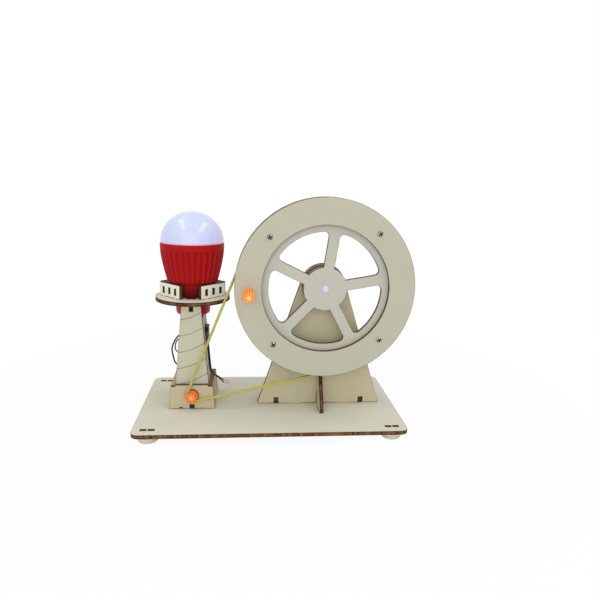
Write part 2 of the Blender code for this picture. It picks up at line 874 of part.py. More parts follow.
# Gallery platform and its four walls, with a doorway at the front and one at the back
inner_distance = panel_distance - ply
wall_far = inner_distance - seat_gap
wall_near = panel_distance - doorway_half_width * math.sqrt(2)
tab_shares = (0.20, 0.78)
pane_shares = (0.20, 0.49, 0.78)
wall_corners = (
    ("gallery_wall_front_left", -3 * math.pi / 4, -1),
    ("gallery_wall_front_right", -math.pi / 4, 1),
    ("gallery_wall_rear_left", 3 * math.pi / 4, 1),
    ("gallery_wall_rear_right", math.pi / 4, -1),
)
neck_hole = circle((tower_x, tower_y), neck_radius + seat_gap, 36)
platform_slots = [neck_hole]
for y in tower_plate_places:
    platform_slots.append(rectangle((tower_x, y), tower_tab_width + 2 * slot_gap, slot))
wall_bottom = platform_top + seat_gap
wall_top = platform_top + panel_height
for name, angle, hand in wall_corners:
    place = turned_wall(angle, panel_distance)
    far = hand * wall_far
    near = -hand * wall_near
    low, high = min(far, near), max(far, near)
    tab_places = [far + (near - far) * share for share in tab_shares]
    wall_outline = stepped_edge(
        low,
        high,
        wall_bottom,
        [(u, panel_tab_width, platform_bottom) for u in tab_places],
    )
    wall_outline += [(high, wall_top), (low, wall_top)]
    panes = []
    for share in pane_shares:
        u = far + (near - far) * share
        pane_z = platform_top + pane_sill + pane_height / 2
        panes.append(rectangle((u, pane_z), pane_width, pane_height))
    sheet(name, wall_outline, panes, place, wood, frame)
    for u in tab_places:
        corners = []
        for du, w in ((-1, -1), (1, -1), (1, 1), (-1, 1)):
            along = u + du * (panel_tab_width / 2 + slot_gap)
            across = ply / 2 + w * slot / 2
            corner = place(along, 0, across)
            corners.append((corner.x, corner.y))
        platform_slots.append(corners)
platform_rim = circle((tower_x, tower_y), platform_radius, 56)
sheet("gallery_platform", platform_rim, platform_slots, lying(platform_bottom), wood, frame)

# Bulb: ribbed body with a neck through the platform, end cap below and milky dome above
bulb_seat = platform_top + seat_gap
bulb_top = platform_top + bulb_body_height
shoulder_z = wall_top + seat_gap + bulb_shoulder_round / 2
band_z = bulb_top - band_height
rib_bottom = shoulder_z + bulb_shoulder_round
rib_rise = band_z - rib_bottom
body_profile = [
    (0, platform_bottom),
    (neck_radius, platform_bottom),
    (neck_radius, bulb_seat),
    (collar_flange_radius, bulb_seat),
    (collar_flange_radius, shoulder_z - bulb_shoulder_round),
    (bulb_shoulder_radius, shoulder_z),
    (bulb_shoulder_radius + bulb_shoulder_round / 2, rib_bottom),
]
belly_shares = ((0.3, 0.38), (0.65, 0.75), (1.0, 1.0))
rib_foot = bulb_shoulder_radius + bulb_shoulder_round / 2
rib_head = bulb_radius - rib_depth / 2
first_rib_row = len(body_profile) - 1
for rise_share, swell_share in belly_shares:
    radius = rib_foot + (rib_head - rib_foot) * swell_share
    body_profile.append((radius, rib_bottom + rib_rise * rise_share))
last_rib_row = len(body_profile) - 1
body_profile += [
    (bulb_radius, band_z),
    (bulb_radius, bulb_top - bulb_shoulder_round / 2),
    (bulb_radius - bulb_shoulder_round / 2, bulb_top),
    (0, bulb_top),
]
rib_steps = 4
rib_shape_shares = (0, 0, 1, 1)


def rib(step, index):
    """Upright grooves between the shoulder and the smooth band."""
    if index < first_rib_row or index > last_rib_row:
        return 0
    return rib_depth * rib_shape_shares[step % rib_steps]


bulb_axis = along_z((tower_x, tower_y, 0))
body_steps = rib_count * rib_steps
turned("bulb_body", body_profile, body_steps, bulb_axis, red, frame, ripple=rib)

cap_radius = tower_depth / 2 - ply - seat_gap
cap_corner = (cap_radius - cap_round, cap_bottom + cap_round)
cap_profile = [(0, cap_bottom)]
cap_profile += arc(cap_corner, cap_round, -math.pi / 2, 0, 3)
cap_profile += [(cap_radius, cap_top), (0, cap_top)]
turned("bulb_cap", cap_profile, 36, bulb_axis, red, frame)

dome_seat = bulb_top + seat_gap
dome_steps = 8
dome_outer = [
    (dome_radius * math.cos(a), dome_seat + dome_height * math.sin(a))
    for a in [math.pi / 2 * i / dome_steps for i in range(dome_steps)]
]
inner_radius = dome_radius - dome_wall
inner_height = dome_height - dome_wall
inner_steps = 5
dome_inner = [
    (inner_radius * math.cos(a), dome_seat + inner_height * math.sin(a))
    for a in [math.pi / 2 * i / inner_steps for i in range(inner_steps)]
]
dome_profile = [(0, dome_seat + inner_height)] + dome_inner[::-1] + dome_outer
dome_profile.append((0, dome_seat + dome_height))
turned("bulb_dome", dome_profile, 40, bulb_axis, milky, frame)

board_outline = circle((tower_x, tower_y), led_board_radius, 32)
led_board = sheet(
    "led_board", board_outline, [], lying(dome_seat), board_white, frame, depth=led_board_height
)
bm = bmesh.new()
led_root = dome_seat + led_board_height / 2
for i in range(led_count):
    spot = polar((tower_x, tower_y), led_circle_radius, i * 2 * math.pi / led_count)
    outline = rectangle(spot, led_size, led_size)
    extrude_outline(bm, outline, [], led_board_height / 2 + led_height, lying(led_root))
combine(led_board, "UNION", add_mesh("led_shapes", bm, board_white, frame))

# Motor: flat-sided can held between the tower's front and rear plates
can_front = tower_front + ply + seat_gap
flat_angle = math.asin(motor_flat / motor_radius)
motor_middle = (tower_x, motor_z)
motor_outline = arc(motor_middle, motor_radius, -flat_angle, flat_angle, 10)
motor_outline += arc(
    motor_middle, motor_radius, math.pi - flat_angle, math.pi + flat_angle, 10
)
motor_place = facing_front(can_front)
motor_can = sheet("motor_can", motor_outline, [], motor_place, steel, frame, depth=can_length)
bm = bmesh.new()
bush_outline = circle(motor_middle, bush_radius, 20)
bush_length = can_front - tower_front
bush_depth = bush_length + cut_overrun
extrude_outline(bm, bush_outline, [], bush_depth, facing_front(tower_front))
combine(motor_can, "UNION", add_mesh("bush_shape", bm, steel, frame))
bm = bmesh.new()
shaft_bore = circle(motor_middle, shaft_radius + seat_gap, hole_steps)
bore_front = tower_front - cut_overrun
bore_depth = can_front + shaft_engagement + cut_overrun - bore_front
extrude_outline(bm, shaft_bore, [], bore_depth, facing_front(bore_front))
combine(motor_can, "DIFFERENCE", add_mesh("shaft_bore_shape", bm, steel, frame))

end_cap_y = can_front + can_length + seat_gap
end_cap_place = facing_front(end_cap_y)
end_cap = sheet(
    "motor_end_cap", motor_outline, [], end_cap_place, white, frame, depth=end_cap_length
)
bm = bmesh.new()
terminal_y = end_cap_y + end_cap_length / 2
terminal_z = motor_z + motor_flat
for side in (-1, 1):
    spot = (tower_x + side * terminal_offset, terminal_y)
    outline = rectangle(spot, terminal_width, terminal_thickness)
    terminal_root = lying(terminal_z - terminal_height)
    extrude_outline(bm, outline, [], terminal_height * 2, terminal_root)
combine(end_cap, "UNION", add_mesh("terminal_shapes", bm, copper, frame))

# Pulley on the motor's shaft, its groove in line with the wheel's
pulley_front = belt_y - pulley_width / 2
pulley_back = belt_y + pulley_width / 2
groove_half = groove_floor_width / 2
pulley_bore = shaft_radius + seat_gap
pulley_profile = [
    (pulley_bore, pulley_front),
    (pulley_radius, pulley_front),
    (pulley_radius, pulley_front + pulley_flange),
    (pulley_groove_radius, belt_y - groove_half),
    (pulley_groove_radius, belt_y + groove_half),
    (pulley_radius, pulley_back - pulley_flange),
    (pulley_radius, pulley_back),
    (pulley_bore, pulley_back),
]
shaft_axis = along_y((tower_x, 0, motor_z))
turned("motor_pulley", pulley_profile, 24, shaft_axis, orange, pulley, closed=True)
shaft_front = pulley_front - shaft_proud
shaft_end = can_front + shaft_engagement
shaft_profile = [
    (0, shaft_front),
    (shaft_radius, shaft_front),
    (shaft_radius, shaft_end),
    (0, shaft_end),
]
turned("motor_shaft", shaft_profile, 16, shaft_axis, steel, pulley)

# Round belt: open loop with two straight runs between wheel and pulley
dx = tower_x - wheel_x
dz = motor_z - wheel_z
spread = math.hypot(dx, dz)
heading = math.atan2(dz, dx)
wrap = math.acos((belt_wheel_radius - belt_pulley_radius) / spread)
wheel_wrap_steps = 36
pulley_wrap_steps = 10
wheel_leave = heading + wrap
wheel_meet = heading + 2 * math.pi - wrap
belt_flat = arc(wheel_centre, belt_wheel_radius, wheel_leave, wheel_meet, wheel_wrap_steps)
belt_flat += arc(
    motor_middle, belt_pulley_radius, heading - wrap, heading + wrap, pulley_wrap_steps
)
belt_points = [(x, belt_y, z) for x, z in belt_flat]
tube("drive_belt", belt_points, belt_radius, belt_rubber, frame, closed=True)

# Socket seated in the side of the tower, plug on top of it and its tail below
shell_right = tower_x + tower_half(shell_bottom - base_top) + shell_proud
shell_left = shell_right - shell_thickness
shell_middle = (shell_left + shell_right) / 2
shell_outline = rectangle((shell_middle, tower_y), shell_thickness, shell_width)
shell_place = lying(shell_bottom)
socket = sheet("usb_socket", shell_outline, [], shell_place, steel, frame, depth=shell_height)
slot_z = shell_bottom + shell_slot_rise
for side in (-1, 1):
    bm = bmesh.new()
    spot = (tower_y + side * shell_slot_offset, slot_z)
    outline = rectangle(spot, shell_slot_width, shell_slot_height)
    pocket_place = facing_side(shell_right - shell_slot_depth)
    extrude_outline(bm, outline, [], shell_slot_depth + cut_overrun, pocket_place)
    combine(socket, "DIFFERENCE", add_mesh("shell_pocket_shape", bm, steel, frame))
plug_place = lying(shell_top + seat_gap)
sheet("usb_plug", shell_outline, [], plug_place, navy, frame, depth=plug_height)
tail_left = shell_left + tail_inset
tail_middle = (tail_left + shell_right) / 2
tail_outline = rectangle((tail_middle, tower_y), shell_right - tail_left, tail_width)
sheet("socket_tail", tail_outline, [], lying(tail_bottom), black, frame, depth=tail_height)


def route(points, low, high=None):
    """Route points from the tower's middle. Their heights are over a low level, or are
    shares of the way up to a high one where that is given."""
    rise = high - low if high is not None else 1
    return [(tower_x + x, tower_y + y, low + z * rise) for x, y, z in points]


cable_left = shell_left - tower_x - seat_gap
cable_drop = cap_bottom - seat_gap
cable_z = shell_top + seat_gap + plug_height / 2
cable_shares = [
    (0, 0, 1),
    (0, 0, 0.83),
    (0.0008, 0, 0.50),
    (0.0032, 0, 0.05),
    (cable_left - 0.0015, 0, 0),
    (cable_left, 0, 0),
]
cable_route = smooth_route(route(cable_shares, cable_z, cable_drop), cable_radius * 4)
tube("bulb_cable", cable_route, cable_radius, black, frame)

# Motor wires: out of the tower below the socket's top, down outside it and in again
wire_spacing = wire_radius * 6
terminal_top = terminal_z + terminal_height + seat_gap
terminal_dy = terminal_y - tower_y
black_in = [
    (cable_left, black_hole_shift, 0.0051),
    (0.0045, black_hole_shift, 0.0054),
    (0, black_hole_shift, 0.0059),
    (-0.0060, black_hole_shift, black_upper_rise),
    (-0.0090, black_hole_shift, black_upper_rise),
]
black_loop = [
    (-0.0113, -0.0025, 0.96),
    (-0.0136, -0.0026, 0.85),
    (-0.0158, -0.0028, 0.68),
    (-0.0167, -0.0029, 0.54),
    (-0.0164, -0.0028, 0.38),
    (-0.0156, -0.0027, 0.23),
    (-0.0150, -0.0026, 0.12),
    (-0.0136, -0.0025, 0.035),
    (-0.0112, black_hole_shift, 0),
    (-0.0080, black_hole_shift, 0),
]
black_out = [
    (-0.0058, -0.0012, 0.90),
    (-0.0044, 0.0035, 0.62),
    (-terminal_offset, terminal_dy - 0.0010, 0.34),
    (-terminal_offset, terminal_dy, 0.15),
    (-terminal_offset, terminal_dy, 0),
]
black_route = route(black_in, shell_bottom)
black_route += route(black_loop, black_lower, black_upper)
black_route += route(black_out, terminal_top, black_lower)
black_points = smooth_route(black_route, wire_spacing)
tube("motor_wire_black", black_points, wire_radius, black, frame)

red_in = [
    (cable_left, 0.0012, 0.0028),
    (0.0045, 0.0008, 0.0029),
    (0, -0.0003, 0.0029),
    (-0.0060, red_hole_shift, red_upper_rise),
    (-0.0086, red_hole_shift, red_upper_rise),
]
red_loop = [
    (-0.0108, -0.0010, 0.95),
    (-0.0128, -0.0010, 0.81),
    (-0.0142, -0.0011, 0.57),
    (-0.0145, -0.0011, 0.32),
    (-0.0139, -0.0011, 0.13),
    (-0.0122, -0.0010, 0.02),
    (-0.0100, red_hole_shift, 0),
    (-0.0070, red_hole_shift, 0),
]
red_out = [
    (-0.0035, 0.0002, 0.85),
    (0.0010, 0.0040, 0.48),
    (0.0036, terminal_dy - 0.0012, 0.16),
    (terminal_offset, terminal_dy, 0.07),
    (terminal_offset, terminal_dy, 0),
]
red_route = route(red_in, shell_bottom)
red_route += route(red_loop, red_lower, red_upper)
red_route += route(red_out, terminal_top, red_lower)
red_points = smooth_route(red_route, wire_spacing)
tube("motor_wire_red", red_points, wire_radius, red_wire, frame)

# Spare twin lead from the socket's tail, down the tower and over the plinth's edge. The
# last three heights are under the plinth's top.
lead_x = tail_middle - tower_x
lead_start = tail_bottom - seat_gap
for name, material, y, tip_drop in (
    ("spare_lead_black", black, -0.0010, 0.0010),
    ("spare_lead_red", red_wire, 0.0006, -0.0005),
):
    hanging = [
        (lead_x, y, 1),
        (lead_x + 0.0001, y, 0.92),
        (lead_x + 0.0006, y, 0.74),
        (lead_x + 0.0011, y, 0.49),
        (lead_x + 0.0018, y, 0.25),
        (lead_x + 0.0030, y, 0.12),
    ]
    resting = [
        (lead_x + 0.0058, y, 0.0010),
        (lead_x + 0.0085, y, -0.0009 - tip_drop / 5),
        (lead_x + 0.0110, y, -0.0031 - tip_drop / 2),
        (lead_x + 0.0128, y, -0.0044 - tip_drop),
    ]
    lead_route = route(hanging, plinth_top, lead_start) + route(resting, plinth_top)
    tube(name, smooth_route(lead_route, wire_spacing), wire_radius, material, frame)
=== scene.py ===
import math

import bmesh
import bpy
from mathutils import Matrix, Vector


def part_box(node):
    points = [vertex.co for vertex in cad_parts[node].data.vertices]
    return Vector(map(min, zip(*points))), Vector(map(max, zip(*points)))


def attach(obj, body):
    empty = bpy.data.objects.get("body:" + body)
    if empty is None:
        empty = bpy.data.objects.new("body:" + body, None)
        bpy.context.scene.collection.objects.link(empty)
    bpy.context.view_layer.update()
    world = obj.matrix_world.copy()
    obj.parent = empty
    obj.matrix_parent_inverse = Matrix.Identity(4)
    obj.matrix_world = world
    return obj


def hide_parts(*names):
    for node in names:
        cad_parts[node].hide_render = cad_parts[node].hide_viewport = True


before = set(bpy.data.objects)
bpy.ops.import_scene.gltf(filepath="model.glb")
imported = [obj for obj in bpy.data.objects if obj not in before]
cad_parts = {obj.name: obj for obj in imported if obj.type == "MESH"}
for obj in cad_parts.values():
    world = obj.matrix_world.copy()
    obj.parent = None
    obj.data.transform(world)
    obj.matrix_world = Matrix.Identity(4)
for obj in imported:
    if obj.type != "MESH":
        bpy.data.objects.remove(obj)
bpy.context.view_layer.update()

# Camera. The lens is worked out from the base and the wheel.
camera_place = (-0.022506, -0.396056, 0.182733)
camera_yaw = math.radians(5.910)
camera_pitch = math.radians(12.762)
camera_roll = math.radians(-1.802)
camera_lens_mm = 31.255
camera_sensor_mm = 36


def put(name, data):
    """A named object in the scene."""
    piece = bpy.data.objects.new(name, data)
    bpy.context.scene.collection.objects.link(piece)
    return piece


lens = bpy.data.cameras.new("photo_lens")
lens.lens = camera_lens_mm
lens.sensor_width = camera_sensor_mm
lens.clip_start = 0.01
camera = put("photo_camera", lens)
camera.matrix_world = (
    Matrix.Translation(camera_place) @ Matrix.Rotation(-camera_yaw, 4, "Z")
    @ Matrix.Rotation(math.radians(90) - camera_pitch, 4, "X")
    @ Matrix.Rotation(-camera_roll, 4, "Z"))
bpy.context.scene.camera = camera


# Spare twin lead. Two soft insulated cores, black and red, hang from the socket's tail,
# lean over the edge of the plinth and end in stripped and tinned strands.
core_diameter = 0.0009
core_run = [
    (-0.05375, 0.0544), (-0.05365, 0.0522), (-0.05315, 0.0473), (-0.05265, 0.0405),
    (-0.05195, 0.0339), (-0.05075, 0.0304), (-0.04795, 0.0281),
]
black_core_end = [(-0.04525, 0.0260), (-0.04275, 0.0235), (-0.04095, 0.0217)]
red_core_end = [(-0.04525, 0.0263), (-0.04275, 0.0243), (-0.04095, 0.0232)]
black_core_route = [(x, 0.0065, z) for x, z in core_run + black_core_end]
red_core_route = [(x, 0.0081, z) for x, z in core_run + red_core_end]
strand_diameter = 0.00022
strand_overlap = 0.0006
strand_spread = ((0.0058, -0.0008, -0.0012), (0.0050, 0.0008, -0.0030), (0.0044, 0.0, 0.0006))
white = (1, 1, 1, 1)


def fit(piece, body, slot, *nodes):
    """The piece moves with a body and stands for CAD nodes, which it hides; slot is not used."""
    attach(piece, body)
    if nodes:
        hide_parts(*nodes)


def smooth_line(points, steps=8):
    """Points on a smooth curve through the given ones."""
    route = [Vector(p) for p in points]
    ends = [2 * route[0] - route[1]] + route + [2 * route[-1] - route[-2]]
    line = []
    for p0, p1, p2, p3 in zip(ends, ends[1:], ends[2:], ends[3:]):
        for i in range(steps):
            t = i / steps
            line.append((
                2 * p1 + (p2 - p0) * t + (2 * p0 - 5 * p1 + 4 * p2 - p3) * t**2
                + (3 * p1 - p0 - 3 * p2 + p3) * t**3
            ) / 2)
    return line + [route[-1]]


def wire(name, lines, radius, material, closed=False, sides=5):
    """Round wires of one radius along lines of points."""
    curve = bpy.data.curves.new(name, "CURVE")
    curve.dimensions = "3D"
    curve.bevel_depth = radius
    curve.bevel_resolution = sides
    curve.use_fill_caps = not closed
    for line in lines:
        spline = curve.splines.new("POLY")
        spline.points.add(len(line) - 1)
        for point, target in zip(spline.points, line):
            point.co = (*target, 1)
        spline.use_cyclic_u = closed
        spline.use_smooth = True
    curve.materials.append(material)
    return put(name, curve)


def paint(red, green, blue):
    """A colour as it looks on a screen, 0 to 255, in the linear values that a shader takes."""
    shares = [level / 255 for level in (red, green, blue)]
    return (*[s / 12.92 if s <= 0.04045 else ((s + 0.055) / 1.055) ** 2.4 for s in shares], 1)


def feed(node, inputs):
    """Give a node its inputs, by name or number: values, or what other nodes put out."""
    for key, value in dict(inputs).items():
        if isinstance(value, Shade):
            node.id_data.links.new(value.socket, node.inputs[key])
        else:
            node.inputs[key].default_value = value


def new_node(tree, kind, inputs=(), output=0, **properties):
    """What a new node puts out at one output, or at all of them, by name."""
    node = tree.nodes.new(kind)
    for name, value in properties.items():
        setattr(node, name, value)
    feed(node, inputs)
    if output is None:
        return {socket.name: Shade(socket) for socket in node.outputs}
    return Shade(node.outputs[output])


def reckon(operation, *values):
    """The result of one Math node."""
    tree = next(v.socket.id_data for v in values if isinstance(v, Shade))
    return new_node(tree, "ShaderNodeMath", enumerate(values), operation=operation)


class Shade:
    """What a node puts out: a colour, a place or a number, which is reckoned with as written."""

    def __init__(self, socket):
        self.socket = socket

    def __add__(self, other):
        return reckon("ADD", self, other)

    def __sub__(self, other):
        return reckon("SUBTRACT", self, other)

    def __rsub__(self, other):
        return reckon("SUBTRACT", other, self)

    def __mul__(self, other):
        return reckon("MULTIPLY", self, other)

    def __truediv__(self, other):
        return reckon("DIVIDE", self, other)

    def into(self, kind, inputs, output=0, **properties):
        """What a new node in the same tree puts out."""
        return new_node(self.socket.id_data, kind, inputs, output, **properties)

    def fade(self, low, high, start=0.0, end=1.0):
        """The number mapped smoothly from one range to another."""
        inputs = {"Value": self, "From Min": low, "From Max": high, "To Min": start, "To Max": end}
        return self.into("ShaderNodeMapRange", inputs, interpolation_type="SMOOTHSTEP")

    def mixed(self, first, second):
        """Two colours mixed in the share that the number gives."""
        return self.into("ShaderNodeMix", {0: self, 6: first, 7: second}, 2, data_type="RGBA")

    def speckle(self, scale, detail=3.0, roughness=0.55):
        """Noise between 0 and 1 at the place."""
        return self.into("ShaderNodeTexNoise", {
            "Vector": self, "Scale": scale, "Detail": detail, "Roughness": roughness})

    def stretched(self, *scales):
        """The place with its three directions scaled."""
        return self.into("ShaderNodeMapping", {"Vector": self, "Scale": scales})

    def part(self, axis):
        """The place along one axis."""
        return self.into("ShaderNodeSeparateXYZ", {0: self}, axis)

    def carried(self, name, output="Fac"):
        """What the mesh at the place carries under a name."""
        return self.into("ShaderNodeAttribute", (), output, attribute_name=name)

    def group(self, tree, inputs):
        """What a node group makes of the place with these values."""
        return self.into("ShaderNodeGroup", {0: self, **inputs}, None, node_tree=tree)


def shader_group(inputs, make):
    """A shader node group, named as its function make(given), which returns its outputs. An
    input is a place, a colour or a number by its default: None, a tuple or a number."""
    tree = bpy.data.node_groups.new(make.__name__, "ShaderNodeTree")
    for socket, value in inputs.items():
        kind = "Vector" if value is None else "Color" if isinstance(value, tuple) else "Float"
        made = tree.interface.new_socket(socket, in_out="INPUT", socket_type=f"NodeSocket{kind}")
        if value is not None:
            made.default_value = value
    results = make(new_node(tree, "NodeGroupInput", output=None))
    for socket in results:
        kind = "Color" if socket == "Colour" else "Float"
        tree.interface.new_socket(socket, in_out="OUTPUT", socket_type=f"NodeSocket{kind}")
    feed(tree.nodes.new("NodeGroupOutput"), results)
    return tree


def blank_material(name, **sockets):
    """A Principled material: itself, its shader and the piece's own coordinates."""
    material = bpy.data.materials.new(name)
    material.use_nodes = True
    shader = material.node_tree.nodes["Principled BSDF"]
    feed(shader, {socket.replace("_", " "): value for socket, value in sockets.items()})
    return material, shader, new_node(material.node_tree, "ShaderNodeTexCoord", output="Object")


def bump(height, strength, distance):
    """The surface's direction where its relief turns it."""
    return height.into(
        "ShaderNodeBump", {"Height": height, "Strength": strength, "Distance": distance})


def moulded_tone(given):
    """What every moulded or extruded surface shows: a slow change of tone, fine specks and
    a little unevenness of the gloss."""
    cloud = given["Place"].speckle(reckon("DIVIDE", 1, given["Cloud Size"]), 2)
    speck = given["Place"].speckle(reckon("DIVIDE", 1, given["Speck Size"]), 4)
    wear = (cloud * 0.7 + speck * 0.3).fade(0.35, 0.7)
    return {
        "Colour": wear.mixed(given["Colour"], given["Worn Colour"]),
        "Roughness": given["Gloss"] + speck.fade(0.3, 0.7, -0.05, 0.07),
        "Height": speck + cloud,
    }


moulded = shader_group({
    "Place": None, "Colour": white, "Worn Colour": white, "Cloud Size": 0.01,
    "Speck Size": 0.001, "Gloss": 0.4,
}, moulded_tone)


def moulded_material(name, colour, worn, gloss, cloud_size=0.012, speck_size=0.0008, relief=0.4,
                     depth=0.00002, drawn=None, marks=None, **sockets):
    """A plastic, rubber or metal with the moulded tone in it, drawn out along an axis where
    it was rolled. marks(place, colour) gives the inputs that its form changes."""
    material, shader, place = blank_material(name, **sockets)
    tone = (place.stretched(*drawn) if drawn else place).group(moulded, {
        "Colour": paint(*colour), "Worn Colour": paint(*worn), "Cloud Size": cloud_size,
        "Speck Size": speck_size, "Gloss": gloss,
    })
    look = {
        "Base Color": tone["Colour"], "Roughness": tone["Roughness"],
        "Normal": bump(tone["Height"], relief, depth),
    }
    if marks:
        look.update(marks(place, tone["Colour"]))
    feed(shader, look)
    return material


black_insulation = moulded_material(
    "black_wire_insulation", (14, 12, 14), (30, 27, 31), 0.55, Specular_IOR_Level=0.2)
red_insulation = moulded_material(
    "red_wire_insulation", (92, 14, 20), (118, 24, 30), 0.5, Specular_IOR_Level=0.2)
tinned = moulded_material(
    "tinned_copper_strands", (150, 130, 115), (205, 190, 172), 0.35, Metallic=0.8)

for core, points, insulation in (
    ("black", black_core_route, black_insulation), ("red", red_core_route, red_insulation),
):
    line = smooth_line(points)
    tip = line[-1]
    strands = []
    for x, y, z in strand_spread:
        middle, end = tip + Vector((x / 2, y / 4, z / 4)), tip + Vector((x, y, z))
        strands.append(smooth_line([tip - Vector((strand_overlap, 0, 0)), middle, end]))
    bare_end = wire(f"spare_lead_{core}_strands", strands, strand_diameter / 2, tinned, sides=2)
    fit(bare_end, "frame", f"{core}_insulation")
    lead = wire(f"spare_lead_{core}_core", [line], core_diameter / 2, insulation)
    fit(lead, "frame", f"{core}_insulation", f"spare_lead_{core}")
    sum((b - a).length for a, b in zip(line, line[1:]))


# Plywood. Three-ply birch, 3 mm thick and unfinished, cut by laser: pale faces with fine
# grain, brown burnt edges that show the plies, and a thin scorched line beside every cut.
char_line_width = 0.00020
scorch_width = 0.00040
crease_angle = math.radians(35)
same_point = 0.00001
on_face = 0.00002


def birch_grain(given):
    """Fine fibres, broader streaks, a slow figure and dark pores, all along the grain."""
    stock = given["Stock"]
    fibres = stock.stretched(25, 900, 900).speckle(1, 4, 0.6)
    streaks = stock.stretched(7, 110, 110).speckle(1, 3, 0.5)
    figure = stock.stretched(5, 26, 26).speckle(1, 2, 0.5)
    pores = stock.stretched(130, 3000, 3000).speckle(1, 2).fade(0.66, 0.74)
    veins = (fibres * 0.45 + streaks * 0.55).fade(0.32, 0.68) * given["Contrast"]
    warm = figure.fade(0.35, 0.68).mixed(given["Pale"], given["Flame"])
    return {
        "Colour": (pores * 0.3).mixed(veins.mixed(warm, given["Deep"]), paint(150, 135, 105)),
        "Roughness": fibres.fade(0.3, 0.7, 0.58, 0.72),
        "Height": fibres - pores * 0.6,
    }


def laser_burn(given):
    """Upright burnt strokes on the cut edges, which leave the core ply paler between two
    black lines of glue, and a brown halo on the faces beside them."""
    stock, black = given["Stock"], given["Black"]
    strokes = stock.stretched(1500, 1500, 90).speckle(1, 3, 0.6)
    patches = stock.stretched(160, 160, 120).speckle(1, 3, 0.6)
    soot = stock.stretched(700, 700, 700).speckle(1, 4, 0.7)
    from_middle = reckon("ABSOLUTE", given["Depth"] - 0.5)
    core_ply = (from_middle + (soot - 0.5) * 0.10).fade(0.15, 0.19, 1, 0)
    glue = from_middle.fade(0.145, 0.17) * from_middle.fade(0.185, 0.21, 1, 0)
    edge = (core_ply * 0.22).mixed(given["Brown"], paint(190, 146, 100))
    edge = strokes.fade(0.32, 0.66).mixed(edge, black)
    edge = patches.fade(0.46, 0.68, 0, 0.22).mixed(edge, paint(176, 130, 88))
    # The walls of holes are darkened towards black: partly the laser's soot, partly painted shade.
    edge = given["Hole Soot"].mixed((glue * 0.6).mixed(edge, black), black)
    on_cut = given["Scorch"].fade(0.90, 0.985)
    halo = given["Scorch"].fade(0.0, 0.9) * patches.fade(0.3, 0.7, 0.3, 0.8)
    return {
        "Colour": on_cut.mixed(halo.mixed(given["Face Colour"], paint(138, 112, 78)), edge),
        "Roughness": given["Face Roughness"] + on_cut * 0.2,
        "Height": on_cut * strokes,
    }


grain = shader_group(
    {"Stock": None, "Pale": white, "Deep": white, "Flame": white, "Contrast": 1.0}, birch_grain)
burnt = shader_group({
    "Stock": None, "Face Colour": white, "Face Roughness": 0.6, "Scorch": 0.0, "Depth": 0.5,
    "Brown": white, "Black": white, "Hole Soot": 0.0,
}, laser_burn)


def plywood(name, pale, deep, flame, contrast=0.45, brown=(84, 58, 38), black=(36, 24, 16),
            soot=0.4, engraved=None):
    """A sheet's material. It follows the stock that the sheet was cut from. Soot is how much
    darker the walls of holes are, partly the laser's soot and partly painted shade inside
    them, and engraved(place) is where a line is cut in."""
    material, shader, place = blank_material(name, Specular_IOR_Level=0.25)
    stock = place.carried("stock", "Vector")
    veneer = stock.group(grain, {
        "Pale": paint(*pale), "Deep": paint(*deep), "Flame": paint(*flame), "Contrast": contrast})
    cut = stock.group(burnt, {
        "Face Colour": veneer["Colour"], "Face Roughness": veneer["Roughness"],
        "Scorch": place.carried("scorch"), "Depth": place.carried("depth"),
        "Brown": paint(*brown), "Black": paint(*black), "Hole Soot": place.carried("hole") * soot,
    })
    colour = cut["Colour"]
    height = veneer["Height"] + cut["Height"] * 3
    if engraved:
        line = engraved(place)
        colour = (line * 0.9).mixed(colour, paint(74, 60, 38))
        height = height - line * 4
    normal = bump(height, 0.35, 0.00005)
    feed(shader, {"Base Color": colour, "Roughness": cut["Roughness"], "Normal": normal})
    return material


def hole_corners(rim):
    """The corners of every loop of edges but the largest one."""
    loops = []
    for edge in rim:
        joined = [loop for loop in loops if loop & set(edge.verts)]
        loops = [loop for loop in loops if loop not in joined] + [set(edge.verts).union(*joined)]
    outer = max(loops, key=lambda loop: max((a.co - b.co).length for a in loop for b in loop))
    return {v for loop in loops if loop is not outer for v in loop}


def plain_mesh(name, bm, material=None, crease=crease_angle):
    """The finished mesh as a piece, smooth but for its creases."""
    mesh = bpy.data.meshes.new(name)
    bm.to_mesh(mesh)
    bm.free()
    if material:
        mesh.materials.append(material)
        mesh.shade_smooth()
        mesh.set_sharp_from_angle(angle=crease)
    return put(name, mesh)


